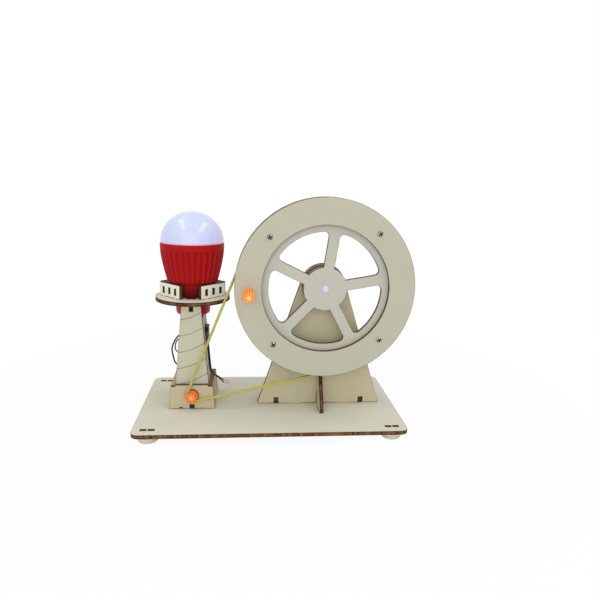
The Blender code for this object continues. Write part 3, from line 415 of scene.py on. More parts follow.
def cut_sheet(node, body, material, along=(0, 0, 1), shift=0.0, trim=None, burn=1.0):
    """A plywood piece in the shape of its CAD solid, with what the laser left on it. It
    carries its place in the stock, how near a cut each point is, and its depth in the sheet.
    trim(point) moves a corner that the real sheet has elsewhere, and burn scales the
    scorched line, which is narrower where two cuts lie close together."""
    bm = bmesh.new()
    bm.from_mesh(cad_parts[node].data)
    bmesh.ops.remove_doubles(bm, verts=bm.verts, dist=same_point)
    if trim:
        for v in bm.verts:
            v.co = trim(v.co)
    scorch, depth, hole = [bm.verts.layers.float.new(n) for n in ("scorch", "depth", "hole")]
    stock = bm.verts.layers.float_vector.new("stock")
    facing = {}
    for face in bm.faces:
        key = tuple(round(x, 1) + 0.0 for x in face.normal)
        facing[key] = facing.get(key, Vector()) + face.normal * face.calc_area()
    through = max(facing.values(), key=lambda total: total.length).normalized()
    reach = [v.co.dot(through) for v in bm.verts]
    low, high = min(reach), max(reach)

    def lies_on(item, level):
        return all(abs(v.co.dot(through) - level) < on_face for v in item.verts)

    flat = [f for f in bm.faces if lies_on(f, low) or lies_on(f, high)]
    bmesh.ops.delete(bm, geom=flat, context="FACES")
    sides, holed = [], set()
    for level, way in ((low, -through), (high, through)):
        rim = [e for e in bm.edges if len(e.link_faces) == 1 and lies_on(e, level)]
        holed |= hole_corners(rim)
        filled = bmesh.ops.triangle_fill(bm, use_beauty=True, edges=rim, normal=way)
        sides.append([g for g in filled["geom"] if isinstance(g, bmesh.types.BMFace)])
    bmesh.ops.recalc_face_normals(bm, faces=bm.faces)
    charred, clean = set(), set()
    for side in sides:
        for width, reached in ((char_line_width, charred), (scorch_width, clean)):
            bmesh.ops.inset_region(
                bm, faces=side, thickness=width * burn, use_boundary=True,
                use_even_offset=True)
            reached |= {v for f in side for v in f.verts}
    grain_way = Vector(along)
    grain_way = (grain_way - through * grain_way.dot(through)).normalized()
    across = through.cross(grain_way)
    for v in bm.verts:
        v[scorch] = 0.0 if v in clean else 0.8 if v in charred else 1.0
        v[depth] = (v.co.dot(through) - low) / (high - low)
        v[hole] = 1.0 if v in holed else 0.0
        v[stock] = (v.co.dot(grain_way) + shift, v.co.dot(across), v.co.dot(through) + shift)
    fit(plain_mesh(f"{node}_sheet", bm, material), body, "birch_plywood", node)


# Base board. The largest sheet, its grain along its length, with slots for the plates that
# stand on it and short spare slots in its corners.
# Partly painted light: the base gets a paler wood than the upright sheets, standing in for the
# light from above on its top.
base_wood = plywood(
    "birch_base", (213, 212, 196), (205, 203, 183), (214, 211, 192), brown=(112, 74, 38),
    black=(46, 29, 15), soot=1.0)
cut_sheet("base_board", "frame", base_wood, along=(1, 0, 0), burn=0.6)


# Feet. Four soft cream rubber bumpers under the corners, moulded as low cones with a shallow
# dish below, and stuck to the board.
foot_round = 0.0005
foot_dish = 0.0004
foot_taper = 0.0012
roundable = 0.48


def soften(corners, radius, steps=4):
    """A turned outline with each inner corner rounded, over less than half of its edges."""
    points = [Vector((*p, 0)) for p in corners]
    line = [tuple(corners[0])]
    for before, corner, after in zip(points, points[1:], points[2:]):
        back, ahead = before - corner, after - corner
        reach = min(radius, back.length * roundable, ahead.length * roundable)
        start, end = corner + back.normalized() * reach, corner + ahead.normalized() * reach
        for i in range(steps + 1):
            t = i / steps
            p = start * (1 - t) ** 2 + corner * 2 * t * (1 - t) + end * t**2
            line.append((p.x, p.y))
    return line + [tuple(corners[-1])]


def skin(bm, rings, steps, closed):
    """Faces between rings of points, of which some may be a single point."""
    for low, high in zip(rings, rings[1:] + rings[:1] if closed else rings[1:]):
        for i in range(steps):
            j = (i + 1) % steps
            bm.faces.new(list(dict.fromkeys([
                low[i % len(low)], low[j % len(low)], high[j % len(high)], high[i % len(high)]])))
    bmesh.ops.recalc_face_normals(bm, faces=bm.faces)


def lathe(name, profile, steps, middle, axis, material, closed=False, ripple=None):
    """A piece turned from (radius, height) points about the Y or Z axis through a middle.
    ripple(angle, radius, height) takes depth off the radius and is kept as an attribute."""
    bm = bmesh.new()
    hollow = bm.verts.layers.float.new("hollow")
    rings = []
    for radius, height in profile:
        ring = []
        for step in range(1 if radius == 0 else steps):
            angle = 2 * math.pi * step / steps
            depth = ripple(angle, radius, height) if ripple and radius else 0
            a, b = (radius - depth) * math.cos(angle), (radius - depth) * math.sin(angle)
            spot = Vector((a, height, b)) if axis == "Y" else Vector((a, b, height))
            vert = bm.verts.new(Vector(middle) + spot)
            vert[hollow] = depth
            ring.append(vert)
        rings.append(ring)
    skin(bm, rings, steps, closed)
    return plain_mesh(name, bm, material)


def corners_of(node):
    """A node's lowest and highest corner."""
    return [Vector(p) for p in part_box(node)]


def middle_of(node):
    return sum(corners_of(node), Vector()) / 2


cream_rubber = moulded_material(
    "cream_foot_rubber", (196, 194, 174), (208, 206, 190), 0.5, Subsurface_Weight=0.3,
    Subsurface_Radius=(0.002, 0.0018, 0.0012), Subsurface_Scale=1.0)
for corner in ("front_left", "rear_left", "front_right", "rear_right"):
    node = f"foot_{corner}"
    low, high = corners_of(node)
    top_radius = (high.x - low.x) / 2
    bottom_radius = top_radius - foot_taper
    rise = high.z - low.z
    outline = [
        (0, foot_dish), (bottom_radius * 0.5, foot_dish), (bottom_radius * 0.62, 0),
        (bottom_radius, 0), (top_radius, rise - foot_round), (top_radius, rise), (0, rise),
    ]
    x, y, _ = middle_of(node)
    bumper = lathe(
        f"{node}_bumper", soften(outline, foot_round), 48, (x, y, low.z), "Z", cream_rubber)
    fit(bumper, "frame", "pale_foot_rubber", node)


# Wheel stand. An upright plate with a round head, two gussets behind it, one brace in front
# and two spacer discs on its face, all tabbed together and into the base.
stand_wood = plywood(
    "birch_stand", (193, 186, 158), (185, 176, 146), (196, 186, 154), brown=(92, 66, 46),
    black=(44, 30, 20))
brace_wood = plywood(
    "birch_brace", (196, 190, 166), (186, 177, 147), (200, 190, 160), brown=(92, 60, 38),
    black=(42, 24, 16))
gusset_wood = plywood(
    "birch_gusset", (193, 186, 158), (185, 176, 146), (196, 186, 154), brown=(62, 46, 30),
    black=(26, 18, 12))
for node, wood, along, shift in (
    ("stand_plate", stand_wood, (0.15, 0, 1), 0),
    ("stand_gusset_left", gusset_wood, (0, 1, 0.2), 0.3),
    ("stand_gusset_right", gusset_wood, (0, 1, 0.2), 0.7),
    ("stand_brace", brace_wood, (0, 0.5, 1), 0.2),
    ("spacer_disc_front", stand_wood, (1, 0, 0.4), 0.5),
    ("spacer_disc_rear", stand_wood, (0.3, 0, 1), 0.9),
):
    cut_sheet(node, "frame", wood, along, shift)


# Belt wheel. Two plywood rings with a smaller spoked disc between them, which leaves the
# channel that the belt runs in. Four screws through the rim hold the layers together.
wheel_wood = plywood(
    "birch_wheel", (183, 182, 164), (178, 176, 155), (185, 182, 162), contrast=0.5,
    brown=(86, 66, 48), black=(42, 30, 22))
disc_wood = plywood(
    "birch_disc", (185, 185, 173), (180, 179, 164), (186, 185, 171), brown=(86, 66, 48),
    black=(42, 30, 22))
cut_sheet("wheel_ring_front", "wheel", wheel_wood, (1, 0, -0.35))
cut_sheet("wheel_spoked_disc", "wheel", disc_wood, (1, 0, 0.5), 0.4)
cut_sheet("wheel_ring_rear", "wheel", wheel_wood, (0.2, 0, 1), 0.8)


# Rim screws and nuts. Four small cross-headed steel screws hold the three layers of the
# wheel together, each with a hexagon nut behind the rear ring.
head_radius = 0.0021
head_height = 0.0013
head_outline = ((0, 1), (0.45, 0.97), (0.75, 0.80), (0.94, 0.48), (1, 0.16), (1, 0))
shank_radius = 0.0010
shank_tip = 0.0003
screw_round = 0.00015
cross_length = 0.0034
cross_width = 0.0012
cross_depth = 0.0008
nut_half_width = 0.0020
nut_height = 0.0016
nut_bevel = 0.00018
nut_sides = 24
nut_crease = math.radians(20)
thread_gap = 0.00012
thread_end = 0.0008
seat_gap = 0.0003
rim_screw_circle = 0.0573
rim_screw_start = math.radians(47.75)


def settle(piece):
    """The piece's mesh with its modifiers worked into it."""
    graph = bpy.context.evaluated_depsgraph_get()
    mesh = bpy.data.meshes.new_from_object(piece.evaluated_get(graph))
    piece.modifiers.clear()
    piece.data = mesh


def block(name, size, middle, bevel=0.0, segments=3):
    """A box with rounded edges, its place in its mesh."""
    bm = bmesh.new()
    bmesh.ops.create_cube(bm, size=1.0)
    bmesh.ops.scale(bm, vec=size, verts=bm.verts)
    if bevel:
        bmesh.ops.bevel(
            bm, geom=bm.edges[:], offset=bevel, segments=segments, affect="EDGES", profile=0.5)
    bmesh.ops.translate(bm, vec=middle, verts=bm.verts)
    return plain_mesh(name, bm)


def carve(piece, tools):
    """Cut tool shapes out of a piece and drop the tools."""
    for tool in tools:
        cut = piece.modifiers.new(tool.name, "BOOLEAN")
        cut.operation = "DIFFERENCE"
        cut.object = tool
    settle(piece)
    for tool in tools:
        bpy.data.objects.remove(tool)
    piece.data.shade_smooth()
    piece.data.set_sharp_from_angle(angle=crease_angle)


def cross_headed_screw(name, head, shank, length, material):
    """A screw along Z, its head above zero and its shank below."""
    outline = [(head * a, head_height * b) for a, b in head_outline] + [
        (shank, 0), (shank, shank_tip - length), (shank - shank_tip, -length), (0, -length)]
    screw = lathe(name, soften(outline, screw_round, 3), 40, (0, 0, 0), "Z", material)
    arms = cross_length * head / head_radius
    top = (0, 0, head_height)
    carve(screw, [
        block("cross_a", (arms, cross_width, cross_depth * 2), top),
        block("cross_b", (cross_width, arms, cross_depth * 2), top),
    ])
    for v, mark in zip(screw.data.vertices, screw.data.attributes["hollow"].data):
        x, y = sorted((abs(v.co.x), abs(v.co.y)))
        in_cross = x < cross_width / 2 + same_point and y < arms / 2 + same_point
        on_floor = abs(v.co.z - (head_height - cross_depth)) < same_point
        mark.value = 1.0 if in_cross and on_floor else 0.0
    return screw


def hex_nut(name, bore, material):
    """A chamfered hexagon nut along Z, from zero upwards."""
    bm = bmesh.new()
    corner = nut_half_width / math.cos(math.pi / 6)
    rings = []
    for limit, z in (
        (corner - nut_bevel * 2, 0), (corner, nut_bevel), (corner, nut_height - nut_bevel),
        (corner - nut_bevel * 2, nut_height), (bore, nut_height), (bore, 0),
    ):
        ring = []
        for i in range(nut_sides):
            angle = 2 * math.pi * i / nut_sides
            from_flat = (angle + math.pi / 6) % (math.pi / 3) - math.pi / 6
            radius = min(nut_half_width / math.cos(from_flat), limit)
            ring.append(bm.verts.new((radius * math.cos(angle), radius * math.sin(angle), z)))
        rings.append(ring)
    skin(bm, rings, nut_sides, True)
    return plain_mesh(name, bm, material, nut_crease)


# The node tree that sets copies of one piece round a circle. Each copy is turned about its
# own axis by a random angle, and the whole circle is tilted and moved into place.
ring_tree = bpy.data.node_groups.new("copies_round_a_circle", "GeometryNodeTree")
for socket, kind, way in (
    ("Item", "Object", "INPUT"), ("Count", "Int", "INPUT"), ("Radius", "Float", "INPUT"),
    ("First Angle", "Float", "INPUT"), ("Own Turn", "Float", "INPUT"), ("Seed", "Int", "INPUT"),
    ("Tilt", "Vector", "INPUT"), ("Middle", "Vector", "INPUT"), ("Finish", "Material", "INPUT"),
    ("Geometry", "Geometry", "OUTPUT"),
):
    ring_tree.interface.new_socket(socket, in_out=way, socket_type=f"NodeSocket{kind}")
given = new_node(ring_tree, "NodeGroupInput", output=None)
circle = new_node(
    ring_tree, "GeometryNodeMeshCircle", {"Vertices": given["Count"], "Radius": given["Radius"]})
first_turn = new_node(ring_tree, "ShaderNodeCombineXYZ", {"Z": given["First Angle"]})
turned = circle.into("GeometryNodeTransform", {"Geometry": circle, "Rotation": first_turn})
item = new_node(ring_tree, "GeometryNodeObjectInfo", {"Object": given["Item"]}, "Geometry")
chance = new_node(
    ring_tree, "FunctionNodeRandomValue", {2: 0.0, 3: given["Own Turn"], "Seed": given["Seed"]}, 1)
own_turn = new_node(ring_tree, "ShaderNodeCombineXYZ", {"Z": chance})
copies = turned.into(
    "GeometryNodeInstanceOnPoints", {"Points": turned, "Instance": item, "Rotation": own_turn})
placed = copies.into("GeometryNodeTransform", {
    "Geometry": copies, "Rotation": given["Tilt"], "Translation": given["Middle"]})
real = placed.into("GeometryNodeRealizeInstances", {"Geometry": placed})
finished = real.into("GeometryNodeSetMaterial", {"Geometry": real, "Material": given["Finish"]})
feed(ring_tree.nodes.new("NodeGroupOutput"), {"Geometry": finished})


def round_a_circle(name, item, body, **values):
    """Copies of a piece round a circle, as one plain mesh; the single piece is dropped."""
    piece = put(name, bpy.data.meshes.new(name))
    made = piece.modifiers.new("copies", "NODES")
    made.node_group = ring_tree
    values = {key.replace("_", " ").title(): value for key, value in values.items()}
    values["Item"] = item
    for socket in ring_tree.interface.items_tree:
        if socket.in_out == "INPUT" and socket.name in values:
            made[socket.identifier] = values[socket.name]
    settle(piece)
    nodes = [f"{item.name}_{i}" for i in (1, 2, 3, 4)]
    bpy.data.objects.remove(item)
    fit(piece, body, "bright_steel", *nodes)


def recess_shade(place, colour):
    """Painted shade: the cross in a screw's head is dark and dull, for the shade in it."""
    recess = place.carried("hollow").fade(0.1, 0.8)
    return {
        "Base Color": recess.mixed(colour, paint(26, 24, 20)),
        "Metallic": recess.fade(0, 1, 1, 0.2),
    }


screw_steel = moulded_material(
    "bright_screw_steel", (192, 191, 184), (150, 149, 142), 0.3, 0.003, 0.0004, relief=0.3,
    marks=recess_shade)
wheel_axis = middle_of("wheel_ring_front")
front_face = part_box("wheel_ring_front")[0][1]
back_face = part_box("wheel_ring_rear")[1][1]
screw_length = back_face - front_face + 2 * seat_gap + nut_height + thread_end
rim_screw = cross_headed_screw("rim_screw", head_radius, shank_radius, screw_length, screw_steel)
rim_nut = hex_nut("rim_nut", shank_radius + thread_gap, screw_steel)
for item, first_angle, own_turn, seed, tilt, y in (
    (rim_screw, rim_screw_start, math.radians(40), 3, math.radians(90), front_face - seat_gap),
    (rim_nut, -rim_screw_start, math.radians(60), 5, math.radians(-90), back_face + seat_gap),
):
    round_a_circle(
        f"{item.name}s", item, "wheel", count=4, radius=rim_screw_circle,
        first_angle=first_angle, own_turn=own_turn, seed=seed, tilt=(tilt, 0, 0),
        middle=(wheel_axis.x, y, wheel_axis.z), finish=screw_steel)


# Axle. A pale plastic pin fixed in the spoked disc, with a low head in front and a collar
# behind the stand plate that keeps it in.
axle_head = 0.0026
axle_head_rise = 0.0006
axle_head_gap = 0.0001
axle_head_slope = 0.0001
axle_edge = 0.0003
axle_dome = 0.0001
axle_round = 0.00025
collar_waist = 0.0004
collar_round = 0.0002
bore_bevel = 0.0003
axle_plastic = moulded_material(
    "pale_axle_plastic", (208, 214, 232), (200, 206, 224), 0.4, 0.004, Specular_IOR_Level=0.2)
low, high = corners_of("axle")
axle_radius = (high.x - low.x) / 2
axle_length = high.y - low.y
head_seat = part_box("wheel_spoked_disc")[0][1] - axle_head_gap - low.y
axle_outline = [
    (0, axle_dome), (axle_radius * 0.6, 0), (axle_radius, axle_edge),
    (axle_radius, head_seat - axle_head_rise - axle_head_slope),
    (axle_head - axle_edge, head_seat - axle_head_rise), (axle_head, head_seat - axle_edge),
    (axle_head, head_seat), (axle_radius, head_seat), (axle_radius, axle_length),
    (0, axle_length),
]
axle = lathe(
    "axle_pin", soften(axle_outline, axle_round), 40, (wheel_axis.x, low.y, wheel_axis.z), "Y",
    axle_plastic)
fit(axle, "wheel", "white_plastic", "axle")
low, high = corners_of("axle_collar")
collar_radius = (high.x - low.x) / 2
collar_length = high.y - low.y
bore = axle_radius + seat_gap
collar_outline = [
    (bore, collar_round), (bore + bore_bevel, 0), (collar_radius, 0),
    (collar_radius, collar_length * 0.3), (collar_radius - collar_waist, collar_length * 0.38),
    (collar_radius - collar_waist, collar_length * 0.62), (collar_radius, collar_length * 0.7),
    (collar_radius, collar_length), (bore + bore_bevel, collar_length),
    (bore, collar_length - collar_round),
]
collar = lathe(
    "axle_collar_ring", soften(collar_outline, collar_round), 48,
    (wheel_axis.x, low.y, wheel_axis.z), "Y", axle_plastic, closed=True)
fit(collar, "wheel", "white_plastic", "axle_collar")


# Crank knob. Fluted orange plastic that turns on a cross-headed screw, which is fixed in the
# wheel's rim with a nut behind it.
knob_low, knob_high = corners_of("crank_knob")
knob_length = knob_high.y - knob_low.y
knob_middle = middle_of("crank_knob")
knob_slack = 0.0003
knob_radius = (knob_high.z - knob_low.z) / 2 - knob_slack
knob_bore = 0.0016
knob_nose = 0.0022
knob_mouth = 0.0004
knob_mouth_dish = 0.0001
nose_steps = 10
barrel_steps = 12
flute_count = 12
flute_turn = math.radians(7.5)
flute_depth = 0.0007
flute_start = knob_radius * 0.55
flute_end = 0.0002
shade_from = 0.0046
deepest_shade_from = 0.0022
crank_head = 0.0017
crank_shank = 0.0013


def flute_shade(place, colour):
    """Painted shade and painted light: the flutes are darker, most of all beside the wheel
    where they lie in shadow, and a painted glow makes the clear orange between them look lit
    from within."""
    in_flute = place.carried("hollow").fade(flute_depth * 0.3, flute_depth)
    at_wheel = place.part(1).fade(knob_high.y - shade_from, knob_high.y - deepest_shade_from)
    shaded_flute_tone = at_wheel.mixed(paint(196, 98, 14), paint(70, 22, 4))
    return {
        "Base Color": in_flute.mixed(colour, shaded_flute_tone),
        "Emission Color": in_flute.mixed(paint(250, 132, 24), paint(90, 36, 0)),
    }


def knob_flute(angle, radius, height):
    """Rounded grooves along the knob, which run on over its rounded nose."""
    if height > knob_length - flute_end:
        return 0
    share = min(1, max(0, (radius - flute_start) / (knob_radius - flute_start)))
    wave = 0.5 - 0.5 * math.cos(flute_count * (angle - flute_turn))
    return flute_depth * share * wave**2.5


# The knob's emission is a painted glow, not a lamp.
knob_plastic = moulded_material(
    "orange_knob_plastic", (230, 140, 44), (238, 150, 62), 0.36, 0.006, relief=0.3,
    marks=flute_shade, Specular_IOR_Level=0.25, Emission_Strength=0.3)
knob_outline = [
    (knob_bore, knob_mouth), (knob_bore + bore_bevel, knob_mouth_dish), (flute_start, 0)]
for i in range(1, nose_steps + 1):
    nose_angle = math.pi / 2 * i / nose_steps
    knob_outline.append((
        flute_start + (knob_radius - flute_start) * math.sin(nose_angle),
        knob_nose * (1 - math.cos(nose_angle))))
for i in range(1, barrel_steps + 1):
    height = knob_nose + (knob_length - knob_nose) * i / barrel_steps
    knob_outline.append((knob_radius, height))
knob_outline += [
    (knob_bore + bore_bevel, knob_length), (knob_bore, knob_length - knob_mouth)]
knob = lathe(
    "crank_knob_grip", knob_outline, flute_count * 12,
    (knob_middle.x, knob_low.y, knob_middle.z), "Y", knob_plastic, closed=True,
    ripple=knob_flute)
fit(knob, "knob", "orange_plastic", "crank_knob")
crank_steel = moulded_material(
    "worn_crank_steel", (240, 226, 202), (206, 190, 160), 0.4, 0.003, 0.0004, Metallic=0.5)
low, high = corners_of("crank_screw")
crank_screw = cross_headed_screw(
    "crank_screw_steel", crank_head, crank_shank, high.y - low.y - head_height, crank_steel)
crank_nut = hex_nut("crank_nut_steel", crank_shank + thread_gap, screw_steel)
for piece, tilt, y, node in (
    (crank_screw, 90, low.y + head_height, "crank_screw"),
    (crank_nut, -90, back_face + seat_gap, "crank_nut"),
):
    piece.data.transform(
        Matrix.Translation((knob_middle.x, y, knob_middle.z))
        @ Matrix.Rotation(math.radians(tilt), 4, "X"))
    fit(piece, "wheel", "bright_steel", node)


# Tower. Upright front and rear plywood plates with two leaning sides between them, all tabbed
# together. A thin line is engraved round all four, climbing like a screw thread.
tower_x = -0.06475
tower_y = 0.0075
board_top = 0.0075
tower_depth = 0.033
foot_half_width = 0.0144
lean_share = 0.087
line_pitch = 0.01305
first_line = 0.019
line_half_width = 0.00020
line_waver = 0.00035
climb_share = 0.77
quarter_climb = 0.019575


def engraved_turns(given):
    """The engraved line where the height, less what it has climbed, is a whole turn."""
    waver = (given["Place"].speckle(260, 2) - 0.5) * line_waver
    phase = (given["Height"] - given["Climb"] + waver - first_line) / line_pitch
    away = reckon("ABSOLUTE", phase - reckon("ROUND", phase)) * line_pitch
    line = away.fade(line_half_width * 0.6, line_half_width * 1.9, 1, 0)
    return {"Line": line * given["Place"].speckle(700, 2).fade(0.3, 0.6, 0.65, 1)}


turns = shader_group({"Place": None, "Height": 0.0, "Climb": 0.0}, engraved_turns)


def engraved_on(side):
    """The engraved line on one face of the tower, as a function for its material."""
    sign = 1 if side in ("front", "right") else -1

    def engraved(place):
        height = place.part(2) - board_top
        half = foot_half_width - height * lean_share
        corner = half * climb_share
        if side in ("front", "rear"):
            share = ((place.part(0) - tower_x) * sign + half) / (half * 2)
            climb = corner * reckon("POWER", reckon("MAXIMUM", share, 0.0001), 1.7)
        else:
            share = (place.part(1) - tower_y) * sign / tower_depth + 0.5
            climb = corner + (quarter_climb - corner) * share
        if side in ("rear", "left"):
            climb = climb + quarter_climb
        return place.group(turns, {"Height": height, "Climb": climb})["Line"]

    return engraved


# Partly painted shade: the tower's cut edges are darker than burnt edges elsewhere, standing in
# for the shadowed gaps where its plates meet.
for node, side, shift in (
    ("tower_front", "front", 0.1), ("tower_rear", "rear", 0.4),
    ("tower_side_left", "left", 0.6), ("tower_side_right", "right", 0.8),
):
    wood = plywood(
        f"birch_{node}", (193, 191, 169), (186, 182, 157), (196, 191, 167),
        brown=(72, 50, 36), black=(30, 21, 15), soot=0.9, engraved=engraved_on(side))
    cut_sheet(node, "frame", wood, shift=shift)

# The small window at the top of the front plate, closed by a charred slip of the same wood.
window_width = 0.0030
window_height = 0.0038
window_drop = 0.0047
window_recess = 0.0008
shutter_depth = 0.0012
charred_wood = moulded_material(
    "charred_window_wood", (40, 26, 18), (58, 38, 26), 0.8, 0.002, 0.0003,
    Specular_IOR_Level=0.1)
window_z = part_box("gallery_platform")[0][2] - window_drop
shutter_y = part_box("tower_front")[0][1] + window_recess + shutter_depth / 2
shutter = block(
    "window_shutter", (window_width, shutter_depth, window_height),
    (tower_x, shutter_y, window_z), bevel=0.0001)
shutter.data.materials.append(charred_wood)
fit(shutter, "frame", "birch_plywood")


# Plinth. A low box of four plywood plates round the foot of the tower, finger-jointed at its
# top corners, with the rail that the motor stands on running through it.
plinth_wood = plywood(
    "birch_plinth", (194, 183, 155), (186, 173, 142), (198, 185, 154), brown=(118, 96, 66),
    black=(48, 33, 22), soot=1.0)
plinth_side_wood = plywood(
    "birch_plinth_side", (190, 172, 138), (178, 156, 120), (194, 174, 138),
    brown=(150, 112, 92), black=(112, 80, 66))
plinth_left_wood = plywood(
    "birch_plinth_left", (192, 178, 146), (180, 162, 128), (196, 180, 146),
    brown=(204, 188, 160), black=(176, 156, 126))
# Partly painted shade: the rail's cut edges are near black, darker than burnt edges elsewhere, for
# the shade in the slot where its end shows.
rail_wood = plywood(
    "birch_rail", (190, 180, 150), (180, 168, 134), (194, 182, 150), brown=(40, 28, 20),
    black=(18, 12, 9))
nick_depth = 0.0012
finger_rise = 0.0010
finger_stub = 0.00006
nick_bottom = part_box("plinth_front")[1][2] - nick_depth
side_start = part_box("plinth_front")[1][1] + seat_gap - finger_stub
side_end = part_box("plinth_rear")[0][1] - seat_gap + finger_stub


def shallow_nick(point):
    """The front and the rear plate reach up to a shallow nick at each top corner."""
    if nick_bottom - finger_rise < point.z < nick_bottom:
        return Vector((point.x, point.y, nick_bottom))
    return point


def short_finger(point):
    """The side plates stop behind the front plate and the rear plate."""
    return Vector((point.x, min(max(point.y, side_start), side_end), point.z))


for node, wood, along, shift, trim in (
    ("plinth_front", plinth_wood, (1, 0, 0.1), 0.2, shallow_nick),
    ("plinth_rear", plinth_wood, (1, 0, 0), 0.5, shallow_nick),
    ("plinth_side_left", plinth_left_wood, (0, 1, 0), 0.35, short_finger),
    ("plinth_side_right", plinth_side_wood, (0, 1, 0), 0.65, short_finger),
    ("motor_rail", rail_wood, (0, 1, 0), 0.15, None),
):
    cut_sheet(node, "frame", wood, along, shift, trim)


# Gallery. A round plywood platform on top of the tower with four low walls tabbed into it,
# three small panes in each and a doorway between the walls at the front and at the back.
# Painted light: the walls and the platform get a paler wood than the tower's plates, standing in
# for the light that falls on them.
gallery_wood = plywood(
    "birch_gallery", (232, 231, 218), (222, 218, 198), (233, 230, 214), brown=(72, 48, 35),
    black=(30, 19, 14), soot=1.0)
platform_wood = plywood(
    "birch_platform", (222, 220, 205), (210, 205, 183), (224, 219, 200), brown=(88, 54, 32),
    black=(38, 23, 14), soot=0.8)
cut_sheet("gallery_platform", "frame", platform_wood, (1, 0.2, 0))
for corner, along, shift in (
    ("front_left", (1, -1, 0), 0), ("front_right", (1, 1, 0), 0.23),
    ("rear_left", (1, 1, 0), 0.46), ("rear_right", (1, -1, 0), 0.69),
):
    cut_sheet(f"gallery_wall_{corner}", "frame", gallery_wood, along, shift)


# Bulb body. Ribbed red plastic with a smooth band at its rim and a neck that goes down
# through the platform; the end cap below is moulded in the same plastic.
rib_count = 32
rib_depth = 0.0007
rib_run_out = 0.0012
seam_rise = 0.0008
stem_radius = 0.0117
neck_radius = 0.0142
neck_flare = 0.0014
neck_steps = 8
belly_radius = 0.0193
belly_steps = 24
belly_curve = 1.45
band_height = 0.0048
band_lip = 0.0003
rim_inset = 0.00005
shoulder_radius = 0.0162
shade_reach = 0.0045
body_round = 0.0004
shoulder_round = 0.0008
low, high = corners_of("bulb_body")
neck_bottom = low.z
body_top = high.z + seam_rise
body_radius = (high.x - low.x) / 2
gallery_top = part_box("gallery_wall_front_left")[1][2]
platform_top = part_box("gallery_platform")[1][2]
neck_foot = platform_top + 0.0010
neck_top = gallery_top - 0.0004
rib_foot_z = gallery_top + 0.0004
shoulder_z = gallery_top + 0.0016
band_bottom = body_top - band_height


def bulb_rib(angle, radius, height):
    """Upright grooves with rounded ends, from the neck's foot up to the band."""
    share = min(height - rib_foot_z, band_bottom - height) / rib_run_out
    if share <= 0:
        return 0
    wave = 0.5 + 0.5 * math.cos(rib_count * angle)
    fade = math.sin(min(1, share) * math.pi / 2)
    return rib_depth * fade * min(1, wave * 1.6)


def rib_shade(place, colour):
    """Painted shade: the plastic is darker red in its grooves, and down the neck where the
    gallery's walls shade it.
    """
    in_groove = place.carried("hollow").fade(rib_depth * 0.25, rib_depth)
    down_neck = place.part(2).fade(neck_foot, shoulder_z + shade_reach, 1, 0)
    rib_tone = in_groove.mixed(colour, paint(154, 13, 15))
    return {"Base Color": down_neck.mixed(rib_tone, paint(98, 12, 10))}


belly = []
for i in range(belly_steps + 1):
    share = i / belly_steps
    swell = 1 - (1 - share) ** belly_curve
    belly.append((
        belly_radius + (body_radius - rim_inset - belly_radius) * swell,
        shoulder_z + (band_bottom - shoulder_z) * share,
    ))
neck = []
for i in range(neck_steps + 1):
    share = i / neck_steps
    neck.append((neck_radius + neck_flare * share, neck_foot + (neck_top - neck_foot) * share))
body_outline = soften([
    (0, neck_bottom), (stem_radius, neck_bottom), (stem_radius, platform_top + seat_gap),
    (neck_radius - 0.0002, platform_top + seat_gap), neck[0],
], body_round)
body_outline += neck[1:]
body_outline += soften([neck[-1], (shoulder_radius, neck_top), belly[0]], shoulder_round)[1:]
body_outline += belly[1:]
body_outline += soften([
    belly[-1], (body_radius - band_lip, band_bottom + 0.0001),
    (body_radius, band_bottom + 0.0001 + band_lip), (body_radius, body_top), (0, body_top),
], body_round)[1:]
red_plastic = moulded_material(
    "red_bulb_plastic", (163, 21, 23), (169, 27, 28), 0.45, 0.012, 0.0009, relief=0.3,
    marks=rib_shade, Specular_IOR_Level=0.06)
bulb_body = lathe(
    "bulb_body_ribbed", body_outline, rib_count * 12, (tower_x, tower_y, 0), "Z", red_plastic,
    ripple=bulb_rib)
fit(bulb_body, "frame", "red_bulb_plastic", "bulb_body")

low, high = corners_of("bulb_cap")
cap_radius = (high.x - low.x) / 2
cap_dish = 0.0004
cap_taper = 0.0005
cap_groove = 0.0004
cap_round = 0.0016
groove_bottom = high.z - 0.0032
groove_top = high.z - 0.0020
cap_outline = soften([
    (0, low.z + cap_dish), (cap_radius * 0.35, low.z + cap_dish), (cap_radius * 0.42, low.z),
    (cap_radius - cap_taper, low.z), (cap_radius, low.z + 0.0030), (cap_radius, groove_bottom),
    (cap_radius - cap_groove, groove_bottom + 0.0003),
    (cap_radius - cap_groove, groove_top - 0.0003), (cap_radius, groove_top),
    (cap_radius, high.z), (0, high.z),
], cap_round)
cap_plastic = moulded_material(
    "red_cap_plastic", (166, 18, 34), (178, 26, 42), 0.38, Specular_IOR_Level=0.15)
cap = lathe("bulb_cap_moulded", cap_outline, 72, (tower_x, tower_y, 0), "Z", cap_plastic)
fit(cap, "frame", "red_bulb_plastic", "bulb_cap")


# Bulb dome. A thin milky shell snapped onto the ribbed body, glossy outside, over a white
# board with six LED chips.
low, high = corners_of("bulb_dome")
dome_radius = (high.x - low.x) / 2
dome_foot = low.z + seam_rise
dome_rise = high.z - dome_foot
shine_through_height = 0.0013
dome_wall = 0.0014


def dome_line(wall, steps):
    """A quarter ellipse from the rim to the top, a wall's thickness inside the dome."""
    radius, rise = dome_radius - wall, dome_rise - wall
    angles = [math.pi / 2 * i / steps for i in range(steps)]
    line = [(radius * math.cos(a), dome_foot + rise * math.sin(a)) for a in angles]
    return line + [(0, dome_foot + rise)]


